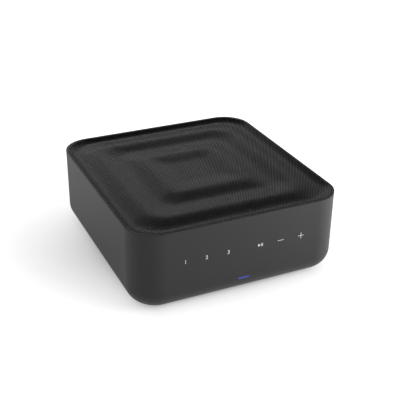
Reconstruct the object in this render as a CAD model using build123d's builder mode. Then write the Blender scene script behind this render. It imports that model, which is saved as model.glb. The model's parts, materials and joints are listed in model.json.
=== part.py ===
"""Streaming amplifier: a square table-top case with a rippled grille on top and its sockets at the back.

X runs to the right as seen from the front, Y to the back and Z up. All sizes are in millimetres. The case
stands on its feet at Z = 0, and the origin is under the middle of the whole object, terminals included.
"""

import math
import os

from build123d import *

# Case: one moulding with upright walls, large upright corners and a rounded lower edge
case_width = 217.0
case_depth = 232.0
case_top = 85.0
foot_height = 2.5
corner_radius = 31.0
edge_radius = 19.5
wall = 3.0
lip = 0.8  # the thin top edge of the wall that frames the grille
seat_depth = 4.0  # how far the grille's seat lies below the lip

# Grille: pressed sheet with rounded square ripples round its middle
grille_sheet = 0.8
grille_border = 1.5
grille_sink = 0.2  # how far the border lies below the lip
grille_gap = 0.1
crest_drop = 0.35  # crests and troughs below the border
trough_drop = 2.4
middle_drop = 1.9
ripple_shares = (0.90, 0.735, 0.55, 0.36)  # trough, crest, trough, crest: share of the way out
middle_share = 0.16
ripple_steps = 3  # sections in each half wave
mesh_counts = (12, 12)  # openings across and along, a plain grid in place of the fine perforation
mesh_margin = 2.0  # border to the first openings
mesh_bar = 6.0  # between two openings

# Grille carrier: a ring with ribs that closes the case under the grille
carrier_drop = 9.0  # lower face of the ring to the top of the case
carrier_height = 3.0
carrier_ring = 9.0
carrier_gap = 0.4
rib_width = 2.0
rib_gap = 0.3
rib_count = 5  # each way, under every second bar of the grille
post_radius = 5.0
post_setback = 7.0  # post axis to the outside of the upright corner
post_foot = 24.0  # height at which the posts grow out of the corners

# Base: steel plate let into the floor of the case
base_inset = 3.0  # plate edge to the end of the rounded lower edge
base_sheet = 1.5
base_ledge = 4.0
base_gap = 0.2
base_screw_setback = 7.0
base_boss_radius = 3.6
base_boss_height = 9.0
foot_radius = 9.0
foot_setback = 20.0
vent_length = 34.0
vent_width = 3.0
vent_pitch = 8.0
vent_count = 9
vent_row = 22.0  # each row of vents to the middle of the case

# Screws: one size of self-tapping screw holds the covers and the boards. Its head stays plain here
screw_radius = 1.25
screw_head_radius = 2.7
screw_head_height = 1.8
screw_length = 7.0
pilot_gap = 0.05
screw_hole_gap = 0.4
screw_hole_spare = 0.5  # pilot holes run on past the screw's end

# Back: a recess in the rear wall with the socket panel at its inner end
recess_width = 168.0
recess_radius = 7.0
recess_cover = 1.0  # between the recess's frame and the carrier above it
recess_way = 0.5  # how far the ledge stays below the power board's top
recess_depth = 8.0
recess_wall = 2.5
panel_sheet = 2.0
panel_gap = 0.3
ledge_width = 3.2
ledge_depth = 2.5
panel_boss_radius = 3.2
panel_boss_length = 6.0
panel_screw_inset = 4.2
hole_gap = 0.25
row_margin = 10.0  # side of the recess to the first and the last socket of the upper row

# Speaker terminals: socketed posts with screw-down caps, in a row on one block
terminal_pitch = 19.0
terminal_inset = 20.5  # middle of the last terminal to the side of the recess
terminal_count = 4
stud_radius = 3.0
plug_radius = 2.05
plug_depth = 10.5
wire_hole_radius = 0.9
collar_radius = 7.6
collar_height = 2.0
bush_radius = 5.0
clamp_radius = 5.6
clamp_height = 2.4
clamp_gap = 0.3
cap_radius = 7.2
cap_waist_radius = 6.0
cap_skirt = 2.0
cap_waist = 2.4
cap_gap = 0.1
cap_length = 13.2
cap_end = 1.5
cap_edge = 0.8
cap_mouth_radius = 2.5
cap_flutes = 12
cap_flute_radius = 1.0
stud_sink = 0.5  # how far the post's tip stays below the end wall of its cap
running_gap = 0.05
block_height = 20.0
block_depth = 18.0
block_margin = 1.5

# Boards
board_sheet = 1.6
board_corner = 2.0
board_space = 6.4  # between the terminal block and the network board
power_board_width = 150.0
power_board_depth = 180.0
power_board_gap = 1.5  # behind the ledge
network_board_side = 1.8  # between the board and the way in past the ledge
network_board_depth = 77.0
network_board_gap = 2.0  # behind the panel
network_board_air = 1.8  # over the tallest socket, below the ledge
standoff_flats = 5.5
power_stand_inset = (5.0, 12.0, 32.0)  # side, front and back edge of the board to the standoffs
network_stand_inset = (9.0, 6.0, 22.0)

# Sockets along the top of the network board, with even spaces between them
net_width = 16.0
net_height = 13.5
net_length = 16.0
net_mouth = (11.7, 7.4)
net_latch = (6.2, 2.6)
net_depth = 12.5
net_floor = 2.0
contact_width = 0.5
contact_reach = 7.5  # along the socket's floor
contact_pitch = 1.02
contact_count = 8

media_mouth = (12.5, 5.1)
media_shell = 0.4
media_depth = 12.0
media_tongue = (11.1, 1.8)
media_tongue_rise = 0.9
media_proud = 0.5  # past the panel
media_corner = 0.8

video_mouth = (14.0, 4.6)
video_shell = 0.5
video_depth = 10.5
video_corner = 1.5
video_tongue = (11.6, 1.2)
video_proud = 0.3

socket_back = 1.5  # back wall of the two shells
tongue_sink = 2.0  # tip of each tongue behind its shell's edge

optical_size = 10.0
optical_length = 14.0
optical_mouth = 5.4
optical_throat = 9.0
shutter_sheet = 0.8
shutter_gap = 0.1
shutter_sink = 2.2  # behind the panel, so that the shutter clears the panel's hole
shutter_pin_radius = 0.35
shutter_pin_length = 0.8

phono_pitch = 14.0  # between the two line inputs
phono_radius = 4.15
phono_wall = 0.6
phono_reach = 8.5
phono_ring_radius = 5.7
phono_pin_radius = 1.65
phono_pin_depth = 8.0
phono_block = 12.5
phono_block_depth = 11.0
phono_core_sink = 0.6

mini_radius = 1.8
mini_nose_radius = 3.0
mini_reach = 1.0
mini_block = 7.0
mini_block_depth = 13.0
mini_bore_depth = 12.0

# Mains inlet for a two-pin lead
inlet_inset = 22.0  # middle of the inlet to the side of the recess
inlet_width = 23.0
inlet_height = 16.0
inlet_length = 22.0
inlet_stand = 2.0  # over the power board
inlet_proud = 0.6
inlet_mouth_radius = 4.2
inlet_slot = 5.9  # height of the mouth between its two rounds
inlet_corner = 1.2
inlet_foot_inset = 2.0
inlet_pin_pitch = 8.6
inlet_pin_radius = 1.18
inlet_depth = 11.0
inlet_pin_stop = 1.0

# Push buttons under the network board, half way between the inlet and the terminal block
button_pitch = 12.0
button_radius = 2.6
button_proud = 1.0
button_flange = 0.8
button_flange_depth = 1.0
button_travel = 0.5
button_gap = 0.1
switch_width = 6.2
switch_height = 7.0
switch_depth = 5.0
switch_gap = 0.1
reset_radius = 0.8

# Front: touch board behind the wall, with its status light
touch_drop = 32.5  # row of touch signs to the top of the case
touch_places = (17.0, 38.75, 60.5)  # each way from the middle
touch_width = 144.0
touch_above = 13.5  # board edge to the row of touch signs
touch_below = 16.5
touch_tab_width = 26.0
touch_tab_below = 5.5  # board tab past the light
touch_gap = 4.0  # between the wall and the board
touch_pad_radius = 5.0
touch_boss_radius = 3.0
touch_boss_inset = 4.5
light_width = 11.5
light_height = 2.0
light_place = 20.0
light_lamp = 1.4
light_gap = 0.05

# Parts on the power board, placed from the middle of the board
chip_size = 14.0
chip_height = 2.4
sink_width = 64.0
sink_depth = 56.0
sink_height = 36.0
sink_plate = 4.0
sink_fins = 9
sink_fin = 1.6
sink_place = (-42.0, -42.0)
transformer_size = 34.0
transformer_height = 30.0
transformer_leg = 7.0
transformer_cover = 3.5
transformer_place = (45.0, -14.0)
winding_gap = 0.3
reservoir_radius = 11.0
reservoir_height = 34.0
reservoir_places = ((56.0, -50.0), (32.0, -50.0), (44.0, -74.0))
coil_size = 15.0
coil_height = 13.0
coil_row = 46.0
filter_size = 18.0
filter_height = 17.0
filter_place = (50.0, 50.0)

# Parts on the network board, placed from the middle of the board
shield_size = 34.0
shield_height = 4.0
shield_place = (-18.0, -4.0)
radio_size = (24.0, 16.0)
radio_height = 2.6
radio_place = (36.0, -10.0)
plug_size = (19.0, 6.0, 5.0)
plug_inset = 1.0
flex_width = 16.0
flex_sheet = 0.5
flex_lead = 14.0
flex_sag = 7.0
flex_bend = 12.0

# Worked out from the sizes above
base_z = foot_height
carrier_z = case_top - carrier_drop
seat_z = case_top - seat_depth
recess_top = carrier_z - recess_cover - recess_wall
network_board_top = recess_top - ledge_width - network_board_air - net_height
network_board_width = recess_width - 2 * (ledge_width + network_board_side)
power_board_top = network_board_top - board_sheet - board_space - block_height
recess_floor = power_board_top - recess_way - ledge_width
recess_height = recess_top - recess_floor
recess_z = (recess_top + recess_floor) / 2
stud_reach = collar_height + clamp_gap + clamp_height + cap_gap + cap_length - cap_end - stud_sink
rear_reach = stud_reach + stud_sink + cap_end - recess_depth
case_mid = -rear_reach / 2
front_y = case_mid - case_depth / 2
rear_y = case_mid + case_depth / 2
panel_y = rear_y - recess_depth
panel_back = panel_y - panel_sheet
ledge_end = panel_back - ledge_depth
cavity_width = case_width - 2 * wall
cavity_depth = case_depth - 2 * wall
cavity_radius = corner_radius - wall
corner_x = case_width / 2 - corner_radius
corner_y = case_depth / 2 - corner_radius
screw_hole = screw_radius + screw_hole_gap
pilot_radius = screw_radius + pilot_gap
pilot_length = screw_length + screw_hole_spare
touch_row = case_top - touch_drop


def level(z, x=0.0, y=0.0):
    """A level sketch plane at height z, placed from the middle of the case."""
    return Plane((x, case_mid + y, z))


def from_back(y, across=0.0, up=0.0):
    """A sketch plane that is looked at from the back: across runs to the right, up runs up."""
    return Plane(origin=(-across, y, up), x_dir=(-1, 0, 0), z_dir=(0, 1, 0))


def from_front(y, across=0.0, up=0.0):
    """A sketch plane that is looked at from the front: across runs to the right, up runs up."""
    return Plane(origin=(across, y, up), x_dir=(1, 0, 0), z_dir=(0, -1, 0))


def four(x, y):
    """Four places, mirrored about both middle planes."""
    return [(x, y), (-x, y), (-x, -y), (x, -y)]


def write(part, name):
    """Labels a finished piece and writes it under its own name."""
    part.label = name
    export_step(part, f"parts/{name}.step")


def screws(plane, places):
    """Self-tapping screws with their heads on the plane, pointing against it, one at each place."""
    with BuildPart() as made:
        with BuildSketch(plane):
            with Locations(*places):
                Circle(screw_radius)
        extrude(amount=-screw_length)
        with BuildSketch(plane):
            with Locations(*places):
                Circle(screw_head_radius)
        extrude(amount=screw_head_height)
    return made.part


os.makedirs("parts", exist_ok=True)

# Case
post_x = corner_x + (corner_radius - post_setback) * math.sqrt(0.5)
post_y = corner_y + (corner_radius - post_setback) * math.sqrt(0.5)
base_width = case_width - 2 * (edge_radius + base_inset)
base_depth = case_depth - 2 * (edge_radius + base_inset)
base_radius = corner_radius - edge_radius - base_inset
base_screw_x = base_width / 2 - base_screw_setback
base_screw_y = base_depth / 2 - base_screw_setback
panel_screw_x = recess_width / 2 - panel_screw_inset
panel_screw_z = recess_height / 2 - panel_screw_inset
panel_screw_places = [(u, recess_z + v) for u, v in four(panel_screw_x, panel_screw_z)]
touch_front_y = front_y + wall + touch_gap
touch_back_y = touch_front_y + board_sheet
touch_low = touch_row - touch_below
touch_high = touch_row + touch_above
touch_boss_x = touch_width / 2 - touch_boss_inset
touch_boss_z = (touch_low + touch_boss_inset, touch_high - touch_boss_inset)
touch_bosses = [(side * touch_boss_x, z) for side in (-1, 1) for z in touch_boss_z]

with BuildPart() as case_form:
    with BuildSketch(level(base_z)):
        RectangleRounded(case_width, case_depth, corner_radius)
    extrude(amount=case_top - base_z)
    fillet(case_form.faces().sort_by(Axis.Z)[0].edges(), edge_radius)

with BuildPart() as case_cavity:
    with BuildSketch(level(base_z + wall)):
        RectangleRounded(cavity_width, cavity_depth, cavity_radius)
    extrude(amount=case_top - base_z - wall)
    fillet(case_cavity.faces().sort_by(Axis.Z)[0].edges(), edge_radius - wall)

# Frame of the recess, from the rear wall to the end of the ledge
with BuildPart() as recess_frame:
    with BuildSketch(from_back(rear_y, 0, recess_z)):
        RectangleRounded(
            recess_width + 2 * recess_wall,
            recess_height + 2 * recess_wall,
            recess_radius + recess_wall,
        )
    extrude(amount=ledge_end - rear_y)
    add(case_form.part, mode=Mode.INTERSECT)

with BuildPart() as cabinet:
    add(case_form.part)
    add(case_cavity.part, mode=Mode.SUBTRACT)
    add(recess_frame.part)
    # Seat for the grille
    with BuildSketch(level(seat_z)):
        RectangleRounded(case_width - 2 * lip, case_depth - 2 * lip, corner_radius - lip)
    extrude(amount=seat_depth, mode=Mode.SUBTRACT)
    # Corner posts for the carrier
    with BuildSketch(level(post_foot)):
        with Locations(*four(post_x, post_y)):
            Circle(post_radius)
    extrude(amount=carrier_z - post_foot)
    # Bosses for the base, on the ledge of the floor
    with BuildSketch(level(base_z + base_sheet)):
        with Locations(*four(base_screw_x, base_screw_y)):
            Circle(base_boss_radius)
    extrude(amount=base_boss_height)
    # Bosses for the touch board
    with BuildSketch(from_front(touch_front_y)):
        with Locations(*touch_bosses):
            Circle(touch_boss_radius)
    extrude(amount=touch_gap + wall / 2)
    # Bosses for the panel, behind the ledge
    with BuildSketch(from_back(ledge_end)):
        with Locations(*panel_screw_places):
            Circle(panel_boss_radius)
    extrude(amount=-panel_boss_length)
    # The recess itself, down to the panel's back, then the way in past the ledge
    with BuildSketch(from_back(rear_y, 0, recess_z)):
        RectangleRounded(recess_width, recess_height, recess_radius)
    extrude(amount=panel_back - rear_y, mode=Mode.SUBTRACT)
    with BuildSketch(from_back(panel_back)):
        with Locations((0, recess_z)):
            RectangleRounded(
                recess_width - 2 * ledge_width, recess_height - 2 * ledge_width, recess_radius
            )
        with Locations(*panel_screw_places):
            Circle(panel_boss_radius, mode=Mode.SUBTRACT)
    extrude(amount=-ledge_depth, mode=Mode.SUBTRACT)
    # Rebate and opening for the base
    with BuildSketch(level(base_z)):
        RectangleRounded(base_width, base_depth, base_radius)
    extrude(amount=base_sheet, mode=Mode.SUBTRACT)
    with BuildSketch(level(base_z)):
        RectangleRounded(
            base_width - 2 * base_ledge, base_depth - 2 * base_ledge, base_radius + base_ledge
        )
        with Locations(*four(base_screw_x, base_screw_y)):
            Circle(base_boss_radius, mode=Mode.SUBTRACT)
    extrude(amount=wall, mode=Mode.SUBTRACT)
    # Window for the status light
    with BuildSketch(from_front(touch_front_y, 0, light_place)):
        RectangleRounded(light_width + 2 * light_gap, light_height + 2 * light_gap, light_height / 3)
    extrude(amount=touch_gap + edge_radius, mode=Mode.SUBTRACT)
    # Pilot holes
    with BuildSketch(level(carrier_z)):
        with Locations(*four(post_x, post_y)):
            Circle(pilot_radius)
    extrude(amount=carrier_height - pilot_length, mode=Mode.SUBTRACT)
    with BuildSketch(level(base_z)):
        with Locations(*four(base_screw_x, base_screw_y)):
            Circle(pilot_radius)
    extrude(amount=pilot_length, mode=Mode.SUBTRACT)
    with BuildSketch(from_front(touch_front_y)):
        with Locations(*touch_bosses):
            Circle(pilot_radius)
    extrude(amount=pilot_length - board_sheet, mode=Mode.SUBTRACT)
    with BuildSketch(from_back(panel_back)):
        with Locations(*panel_screw_places):
            Circle(pilot_radius)
    extrude(amount=panel_sheet - pilot_length, mode=Mode.SUBTRACT)
write(cabinet.part, "cabinet")

# Grille
grille_width = case_width - 2 * (lip + grille_gap)
grille_depth = case_depth - 2 * (lip + grille_gap)
grille_radius = corner_radius - lip - grille_gap
grille_z = case_top - grille_sink
rim_share = 1 - 2 * (lip + grille_gap + grille_border) / case_width
mesh_width = case_width * rim_share - 2 * mesh_margin
mesh_depth = case_depth * rim_share - 2 * mesh_margin
mesh_radius = corner_radius * rim_share - mesh_margin
mesh_pitch = (
    (mesh_width + mesh_bar) / mesh_counts[0],
    (mesh_depth + mesh_bar) / mesh_counts[1],
)


def ripple_sections():
    """Share of the way out and drop below the border, from the border in to the middle."""
    turns = [
        (rim_share, 0.0),
        (ripple_shares[0], trough_drop),
        (ripple_shares[1], crest_drop),
        (ripple_shares[2], trough_drop),
        (ripple_shares[3], crest_drop),
        (middle_share, middle_drop),
    ]
    sections = [turns[0]]
    for index, (start, end) in enumerate(zip(turns, turns[1:])):
        for step in range(1, ripple_steps + 1):
            way = step / ripple_steps
            if index == 0:
                swing = math.sin(way * math.pi / 2)
            else:
                swing = (1 - math.cos(way * math.pi)) / 2
            share = start[0] + (end[0] - start[0]) * way
            sections.append((share, start[1] + (end[1] - start[1]) * swing))
    return sections


def above_ripples(drop):
    """The space above the rippled sheet, lowered by drop."""
    with BuildPart() as space:
        for share, fall in ripple_sections():
            with BuildSketch(level(grille_z - drop - fall)):
                RectangleRounded(case_width * share, case_depth * share, corner_radius * share)
        loft(ruled=True)
    return space.part


with BuildPart() as top_grille:
    with BuildSketch(level(grille_z - grille_sheet)):
        RectangleRounded(grille_width, grille_depth, grille_radius)
    extrude(amount=grille_sheet)
    add(above_ripples(grille_sheet))
    add(above_ripples(0), mode=Mode.SUBTRACT)
    # Grid of openings inside the border
    with BuildSketch(level(seat_z)):
        with GridLocations(*mesh_pitch, *mesh_counts):
            Rectangle(mesh_pitch[0] - mesh_bar, mesh_pitch[1] - mesh_bar)
        RectangleRounded(mesh_width, mesh_depth, mesh_radius, mode=Mode.INTERSECT)
    extrude(amount=seat_depth, mode=Mode.SUBTRACT)
    # Turned-down flange that stands on the seat
    with BuildSketch(level(seat_z)):
        RectangleRounded(grille_width, grille_depth, grille_radius)
        RectangleRounded(
            grille_width - 2 * grille_sheet,
            grille_depth - 2 * grille_sheet,
            grille_radius - grille_sheet,
            mode=Mode.SUBTRACT,
        )
    extrude(amount=grille_z - seat_z - grille_sheet / 2)
write(top_grille.part, "top_grille")

# Grille carrier
rib_top = grille_z - trough_drop - grille_sheet - rib_gap
with BuildPart() as grille_carrier:
    with BuildSketch(level(carrier_z)):
        RectangleRounded(
            cavity_width - 2 * carrier_gap, cavity_depth - 2 * carrier_gap, cavity_radius - carrier_gap
        )
        RectangleRounded(
            cavity_width - 2 * carrier_ring,
            cavity_depth - 2 * carrier_ring,
            cavity_radius - carrier_ring,
            mode=Mode.SUBTRACT,
        )
    extrude(amount=carrier_height)
    with BuildSketch(level(carrier_z)):
        with GridLocations(2 * mesh_pitch[0], 0, rib_count, 1):
            Rectangle(rib_width, cavity_depth - carrier_ring)
        with GridLocations(0, 2 * mesh_pitch[1], 1, rib_count):
            Rectangle(cavity_width - carrier_ring, rib_width)
    extrude(amount=rib_top - carrier_z)
    with BuildSketch(level(carrier_z)):
        with Locations(*four(post_x, post_y)):
            Circle(screw_hole)
    extrude(amount=carrier_height, mode=Mode.SUBTRACT)
write(grille_carrier.part, "grille_carrier")
write(screws(level(carrier_z + carrier_height), four(post_x, post_y)), "carrier_screws")

# Base plate with vents, feet and screws
foot_x = base_width / 2 - foot_setback
foot_y = base_depth / 2 - foot_setback
with BuildPart() as base_plate:
    with BuildSketch(level(base_z)):
        RectangleRounded(base_width - 2 * base_gap, base_depth - 2 * base_gap, base_radius - base_gap)
        with GridLocations(vent_pitch, 2 * vent_row, vent_count, 2):
            SlotOverall(vent_length, vent_width, rotation=90, mode=Mode.SUBTRACT)
        with Locations(*four(base_screw_x, base_screw_y)):
            Circle(screw_hole, mode=Mode.SUBTRACT)
    extrude(amount=base_sheet)
write(base_plate.part, "base_plate")

base_down = Plane(origin=(0, case_mid, base_z), x_dir=(1, 0, 0), z_dir=(0, 0, -1))
write(screws(base_down, four(base_screw_x, base_screw_y)), "base_screws")

with BuildPart() as rubber_feet:
    with BuildSketch(level(0)):
        with Locations(*four(foot_x, foot_y)):
            Circle(foot_radius)
    extrude(amount=foot_height)
    chamfer(rubber_feet.faces().group_by(Axis.Z)[0].edges(), foot_height / 4)
write(rubber_feet.part, "rubber_feet")

# Places across the back, from its middle: the upper row of sockets, then the lower row
line_in_width = phono_pitch + phono_block
row_widths = (
    net_width,
    media_mouth[0] + 2 * media_shell,
    video_mouth[0] + 2 * video_shell,
    optical_size,
    line_in_width,
    phono_block,
    mini_block,
    mini_block,
)
row_space = (recess_width - 2 * row_margin - sum(row_widths)) / (len(row_widths) - 1)
row_places = []
row_edge = row_margin - recess_width / 2
for width in row_widths:
    row_places.append(row_edge + width / 2)
    row_edge += width + row_space
net_place, media_place, video_place, optical_place, line_in_middle = row_places[:5]
sub_out_place, remote_place, trigger_place = row_places[5:]
line_in_places = (line_in_middle - phono_pitch / 2, line_in_middle + phono_pitch / 2)
phono_places = (*line_in_places, sub_out_place)
mini_places = (remote_place, trigger_place)
inlet_place = inlet_inset - recess_width / 2
terminal_places = [
    recess_width / 2 - terminal_inset - (terminal_count - 1 - index) * terminal_pitch
    for index in range(terminal_count)
]
block_low = terminal_places[0] - collar_radius - block_margin
block_high = terminal_places[-1] + collar_radius + block_margin
button_middle = (inlet_place + inlet_width / 2 + block_low) / 2
setup_place, pairing_place, reset_place = (
    button_middle + step * button_pitch for step in (-1, 0, 1)
)
button_places = (setup_place, pairing_place)

# Rear panel
terminal_rise = power_board_top + block_height / 2
inlet_rise = power_board_top + inlet_stand + inlet_height / 2
net_rise = network_board_top + net_height / 2
media_rise = network_board_top + media_mouth[1] / 2 + media_shell
video_rise = network_board_top + video_mouth[1] / 2 + video_shell
optical_rise = network_board_top + optical_size / 2
phono_rise = network_board_top + phono_block / 2
mini_rise = network_board_top + mini_block / 2
button_rise = network_board_top - board_sheet - switch_height / 2
panel_windows = (
    (net_place, net_rise, net_width, net_height),
    (media_place, media_rise, media_mouth[0] + 2 * media_shell, media_mouth[1] + 2 * media_shell),
    (video_place, video_rise, video_mouth[0] + 2 * video_shell, video_mouth[1] + 2 * video_shell),
    (optical_place, optical_rise, optical_size, optical_size),
    (inlet_place, inlet_rise, inlet_width, inlet_height),
)
panel_rounds = (
    (terminal_places, terminal_rise, bush_radius + hole_gap),
    (phono_places, phono_rise, phono_ring_radius + hole_gap),
    (mini_places, mini_rise, mini_nose_radius + hole_gap),
    (button_places, button_rise, button_radius + button_gap),
    ((reset_place,), button_rise, reset_radius),
)

with BuildPart() as rear_panel:
    with BuildSketch(from_back(panel_back)):
        with Locations((0, recess_z)):
            RectangleRounded(
                recess_width - 2 * panel_gap,
                recess_height - 2 * panel_gap,
                recess_radius - panel_gap,
            )
        with Locations(*panel_screw_places):
            Circle(screw_hole, mode=Mode.SUBTRACT)
        for places, rise, radius in panel_rounds:
            with Locations(*[(place, rise) for place in places]):
                Circle(radius, mode=Mode.SUBTRACT)
        for place, rise, width, height in panel_windows:
            with Locations((place, rise)):
                Rectangle(width + 2 * hole_gap, height + 2 * hole_gap, mode=Mode.SUBTRACT)
    extrude(amount=panel_sheet)
write(rear_panel.part, "rear_panel")
write(screws(from_back(panel_y), panel_screw_places), "panel_screws")

# Speaker terminals
terminal_names = ("left_plus", "left_minus", "right_plus", "right_minus")
terminal_centres = [(place, terminal_rise) for place in terminal_places]
stud_tip = panel_y + stud_reach
clamp_start = panel_y + collar_height + clamp_gap
cap_start = clamp_start + clamp_height + cap_gap
cap_tip = cap_start + cap_length
wire_hole_y = clamp_start + clamp_height / 2

with BuildPart() as terminal_block:
    with BuildSketch(from_back(panel_back)):
        with Locations(((block_low + block_high) / 2, terminal_rise)):
            Rectangle(block_high - block_low, block_height)
        with Locations(*terminal_centres):
            Circle(stud_radius + running_gap, mode=Mode.SUBTRACT)
    extrude(amount=-block_depth)
write(terminal_block.part, "terminal_block")

with BuildPart() as terminal_studs:
    with BuildSketch(from_back(panel_back - block_depth)):
        with Locations(*terminal_centres):
            Circle(stud_radius)
    extrude(amount=stud_tip - panel_back + block_depth)
    with BuildSketch(from_back(stud_tip)):
        with Locations(*terminal_centres):
            Circle(plug_radius)
    extrude(amount=-plug_depth, mode=Mode.SUBTRACT)
    chamfer(terminal_studs.faces().group_by(Axis.Y)[-1].edges(), (stud_radius - plug_radius) / 3)
    with BuildSketch(Plane((0, wire_hole_y, terminal_rise - stud_radius))):
        with Locations(*[(-place, 0) for place in terminal_places]):
            Circle(wire_hole_radius)
    extrude(amount=2 * stud_radius, mode=Mode.SUBTRACT)
write(terminal_studs.part, "terminal_studs")


def terminal_collars(centres):
    """The coloured collars between panel and clamps, each with the bush that lines its panel hole."""
    with BuildPart() as made:
        with BuildSketch(from_back(panel_back)):
            with Locations(*centres):
                Circle(bush_radius)
        extrude(amount=panel_sheet)
        with BuildSketch(from_back(panel_y)):
            with Locations(*centres):
                Circle(collar_radius)
        extrude(amount=collar_height)
        with BuildSketch(from_back(panel_back)):
            with Locations(*centres):
                Circle(stud_radius + running_gap)
        extrude(amount=panel_sheet + collar_height, mode=Mode.SUBTRACT)
    return made.part


write(terminal_collars(terminal_centres[0::2]), "plus_collars")
write(terminal_collars(terminal_centres[1::2]), "minus_collars")


def terminal_clamp(centre):
    """The ring that the cap pushes along the post, which pinches a bare wire without turning."""
    with BuildPart() as made:
        with BuildSketch(from_back(clamp_start, *centre)):
            Circle(clamp_radius)
            Circle(stud_radius + running_gap, mode=Mode.SUBTRACT)
        extrude(amount=clamp_height)
        chamfer(made.faces().sort_by(Axis.Y)[0].outer_wire().edges(), clamp_gap)
    return made.part


def terminal_cap(centre):
    """A screw-down cap: a skirt, a waist and a fluted grip, with a mouth for the plug in its end."""
    grip_start = cap_skirt + cap_waist
    with BuildPart() as made:
        with BuildSketch(Plane(origin=(-centre[0], cap_start, centre[1]), z_dir=(0, 0, 1))):
            with BuildLine():
                Polyline(
                    (0, 0),
                    (cap_radius, 0),
                    (cap_radius, cap_skirt),
                    (cap_waist_radius, cap_skirt + cap_waist / 2),
                    (cap_radius, grip_start),
                    (cap_radius, cap_length - cap_edge),
                    (cap_radius - cap_edge, cap_length),
                    (0, cap_length),
                    close=True,
                )
            make_face()
        revolve(axis=Axis((-centre[0], cap_start, centre[1]), (0, 1, 0)))
        with BuildSketch(from_back(cap_start + grip_start, *centre)):
            with PolarLocations(cap_radius + cap_flute_radius / 3, cap_flutes):
                Circle(cap_flute_radius)
        extrude(amount=cap_length - grip_start, mode=Mode.SUBTRACT)
        with BuildSketch(from_back(cap_start, *centre)):
            Circle(stud_radius + running_gap)
        extrude(amount=cap_length - cap_end, mode=Mode.SUBTRACT)
        with BuildSketch(from_back(cap_tip, *centre)):
            Circle(cap_mouth_radius)
        extrude(amount=-cap_end, mode=Mode.SUBTRACT)
    return made.part


for name, centre in zip(terminal_names, terminal_centres):
    write(terminal_clamp(centre), f"terminal_clamp_{name}")
    write(terminal_cap(centre), f"terminal_cap_{name}")

# Power board and network board, with their standoffs
power_mid = ledge_end - power_board_gap - power_board_depth / 2 - case_mid
network_mid = panel_back - network_board_gap - network_board_depth / 2 - case_mid


def stands(width, depth, middle, insets):
    """Places of a board's four standoffs, from the middle of the case."""
    side_inset, front_inset, back_inset = insets
    return [
        (side * (width / 2 - side_inset), y)
        for side in (-1, 1)
        for y in (middle - depth / 2 + front_inset, middle + depth / 2 - back_inset)
    ]


def board(top, width, depth, middle, holes):
    """A circuit board with its screw holes."""
    with BuildPart() as made:
        with BuildSketch(level(top - board_sheet)):
            with Locations((0, middle)):
                RectangleRounded(width, depth, board_corner)
            with Locations(*holes):
                Circle(screw_hole, mode=Mode.SUBTRACT)
        extrude(amount=board_sheet)
    return made.part


def standoffs(low, high, places):
    """Hexagonal standoffs between two levels, each with a pilot hole in its head."""
    with BuildPart() as made:
        with BuildSketch(level(low)):
            with Locations(*places):
                RegularPolygon(standoff_flats / 2, 6, major_radius=False)
        extrude(amount=high - low)
        with BuildSketch(level(high)):
            with Locations(*places):
                Circle(pilot_radius)
        extrude(amount=board_sheet - pilot_length, mode=Mode.SUBTRACT)
    return made.part


power_stands = stands(power_board_width, power_board_depth, power_mid, power_stand_inset)
network_stands = stands(
    network_board_width, network_board_depth, network_mid, network_stand_inset
)
power_board = board(power_board_top, power_board_width, power_board_depth, power_mid, power_stands)
write(power_board, "power_board")
network_board = board(
    network_board_top, network_board_width, network_board_depth, network_mid, network_stands
)
write(network_board, "network_board")
with BuildPart() as board_standoffs:
    add(standoffs(base_z + base_sheet, power_board_top - board_sheet, power_stands))
    add(standoffs(power_board_top, network_board_top - board_sheet, network_stands))
write(board_standoffs.part, "board_standoffs")
touch_screw_plane = Plane(origin=(0, touch_back_y, 0), x_dir=(1, 0, 0), z_dir=(0, 1, 0))
with BuildPart() as board_screws:
    add(screws(level(power_board_top), power_stands))
    add(screws(level(network_board_top), network_stands))
    add(screws(touch_screw_plane, [(x, -z) for x, z in touch_bosses]))
write(board_screws.part, "board_screws")

# Network socket
net_back = panel_y - net_length
net_mouth_rise = network_board_top + net_floor + net_mouth[1] / 2
with BuildPart() as network_socket:
    with BuildSketch(from_back(net_back, net_place, net_rise)):
        Rectangle(net_width, net_height)
    extrude(amount=net_length)
    with BuildSketch(from_back(panel_y, net_place, net_mouth_rise)):
        Rectangle(*net_mouth)
        with Locations((0, (net_mouth[1] + net_latch[1]) / 2)):
            Rectangle(*net_latch)
    extrude(amount=-net_depth, mode=Mode.SUBTRACT)
write(network_socket.part, "network_socket")

with BuildPart() as network_contacts:
    with BuildSketch(from_back(panel_y - net_depth, net_place, net_mouth_rise)):
        with Locations((0, -net_mouth[1] / 2 + contact_width)):
            with GridLocations(contact_pitch, 0, contact_count, 1):
                Rectangle(contact_width, contact_width)
    extrude(amount=contact_reach)
write(network_contacts.part, "network_contacts")

# Media socket: a folded shell and its tongue
media_end = panel_y + media_proud
with BuildPart() as media_socket:
    with BuildSketch(from_back(media_end, media_place, media_rise)):
        RectangleRounded(
            media_mouth[0] + 2 * media_shell, media_mouth[1] + 2 * media_shell, media_corner
        )
    extrude(amount=-media_depth - socket_back)
    with BuildSketch(from_back(media_end, media_place, media_rise)):
        RectangleRounded(*media_mouth, media_corner - media_shell)
    extrude(amount=-media_depth, mode=Mode.SUBTRACT)
write(media_socket.part, "media_socket")

with BuildPart() as media_tongue_part:
    with BuildSketch(from_back(media_end - media_depth, media_place, media_rise + media_tongue_rise)):
        Rectangle(*media_tongue)
    extrude(amount=media_depth - tongue_sink)
write(media_tongue_part.part, "media_tongue")

# Video socket: a shell with cut lower corners and its tongue
video_end = panel_y + video_proud


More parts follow.
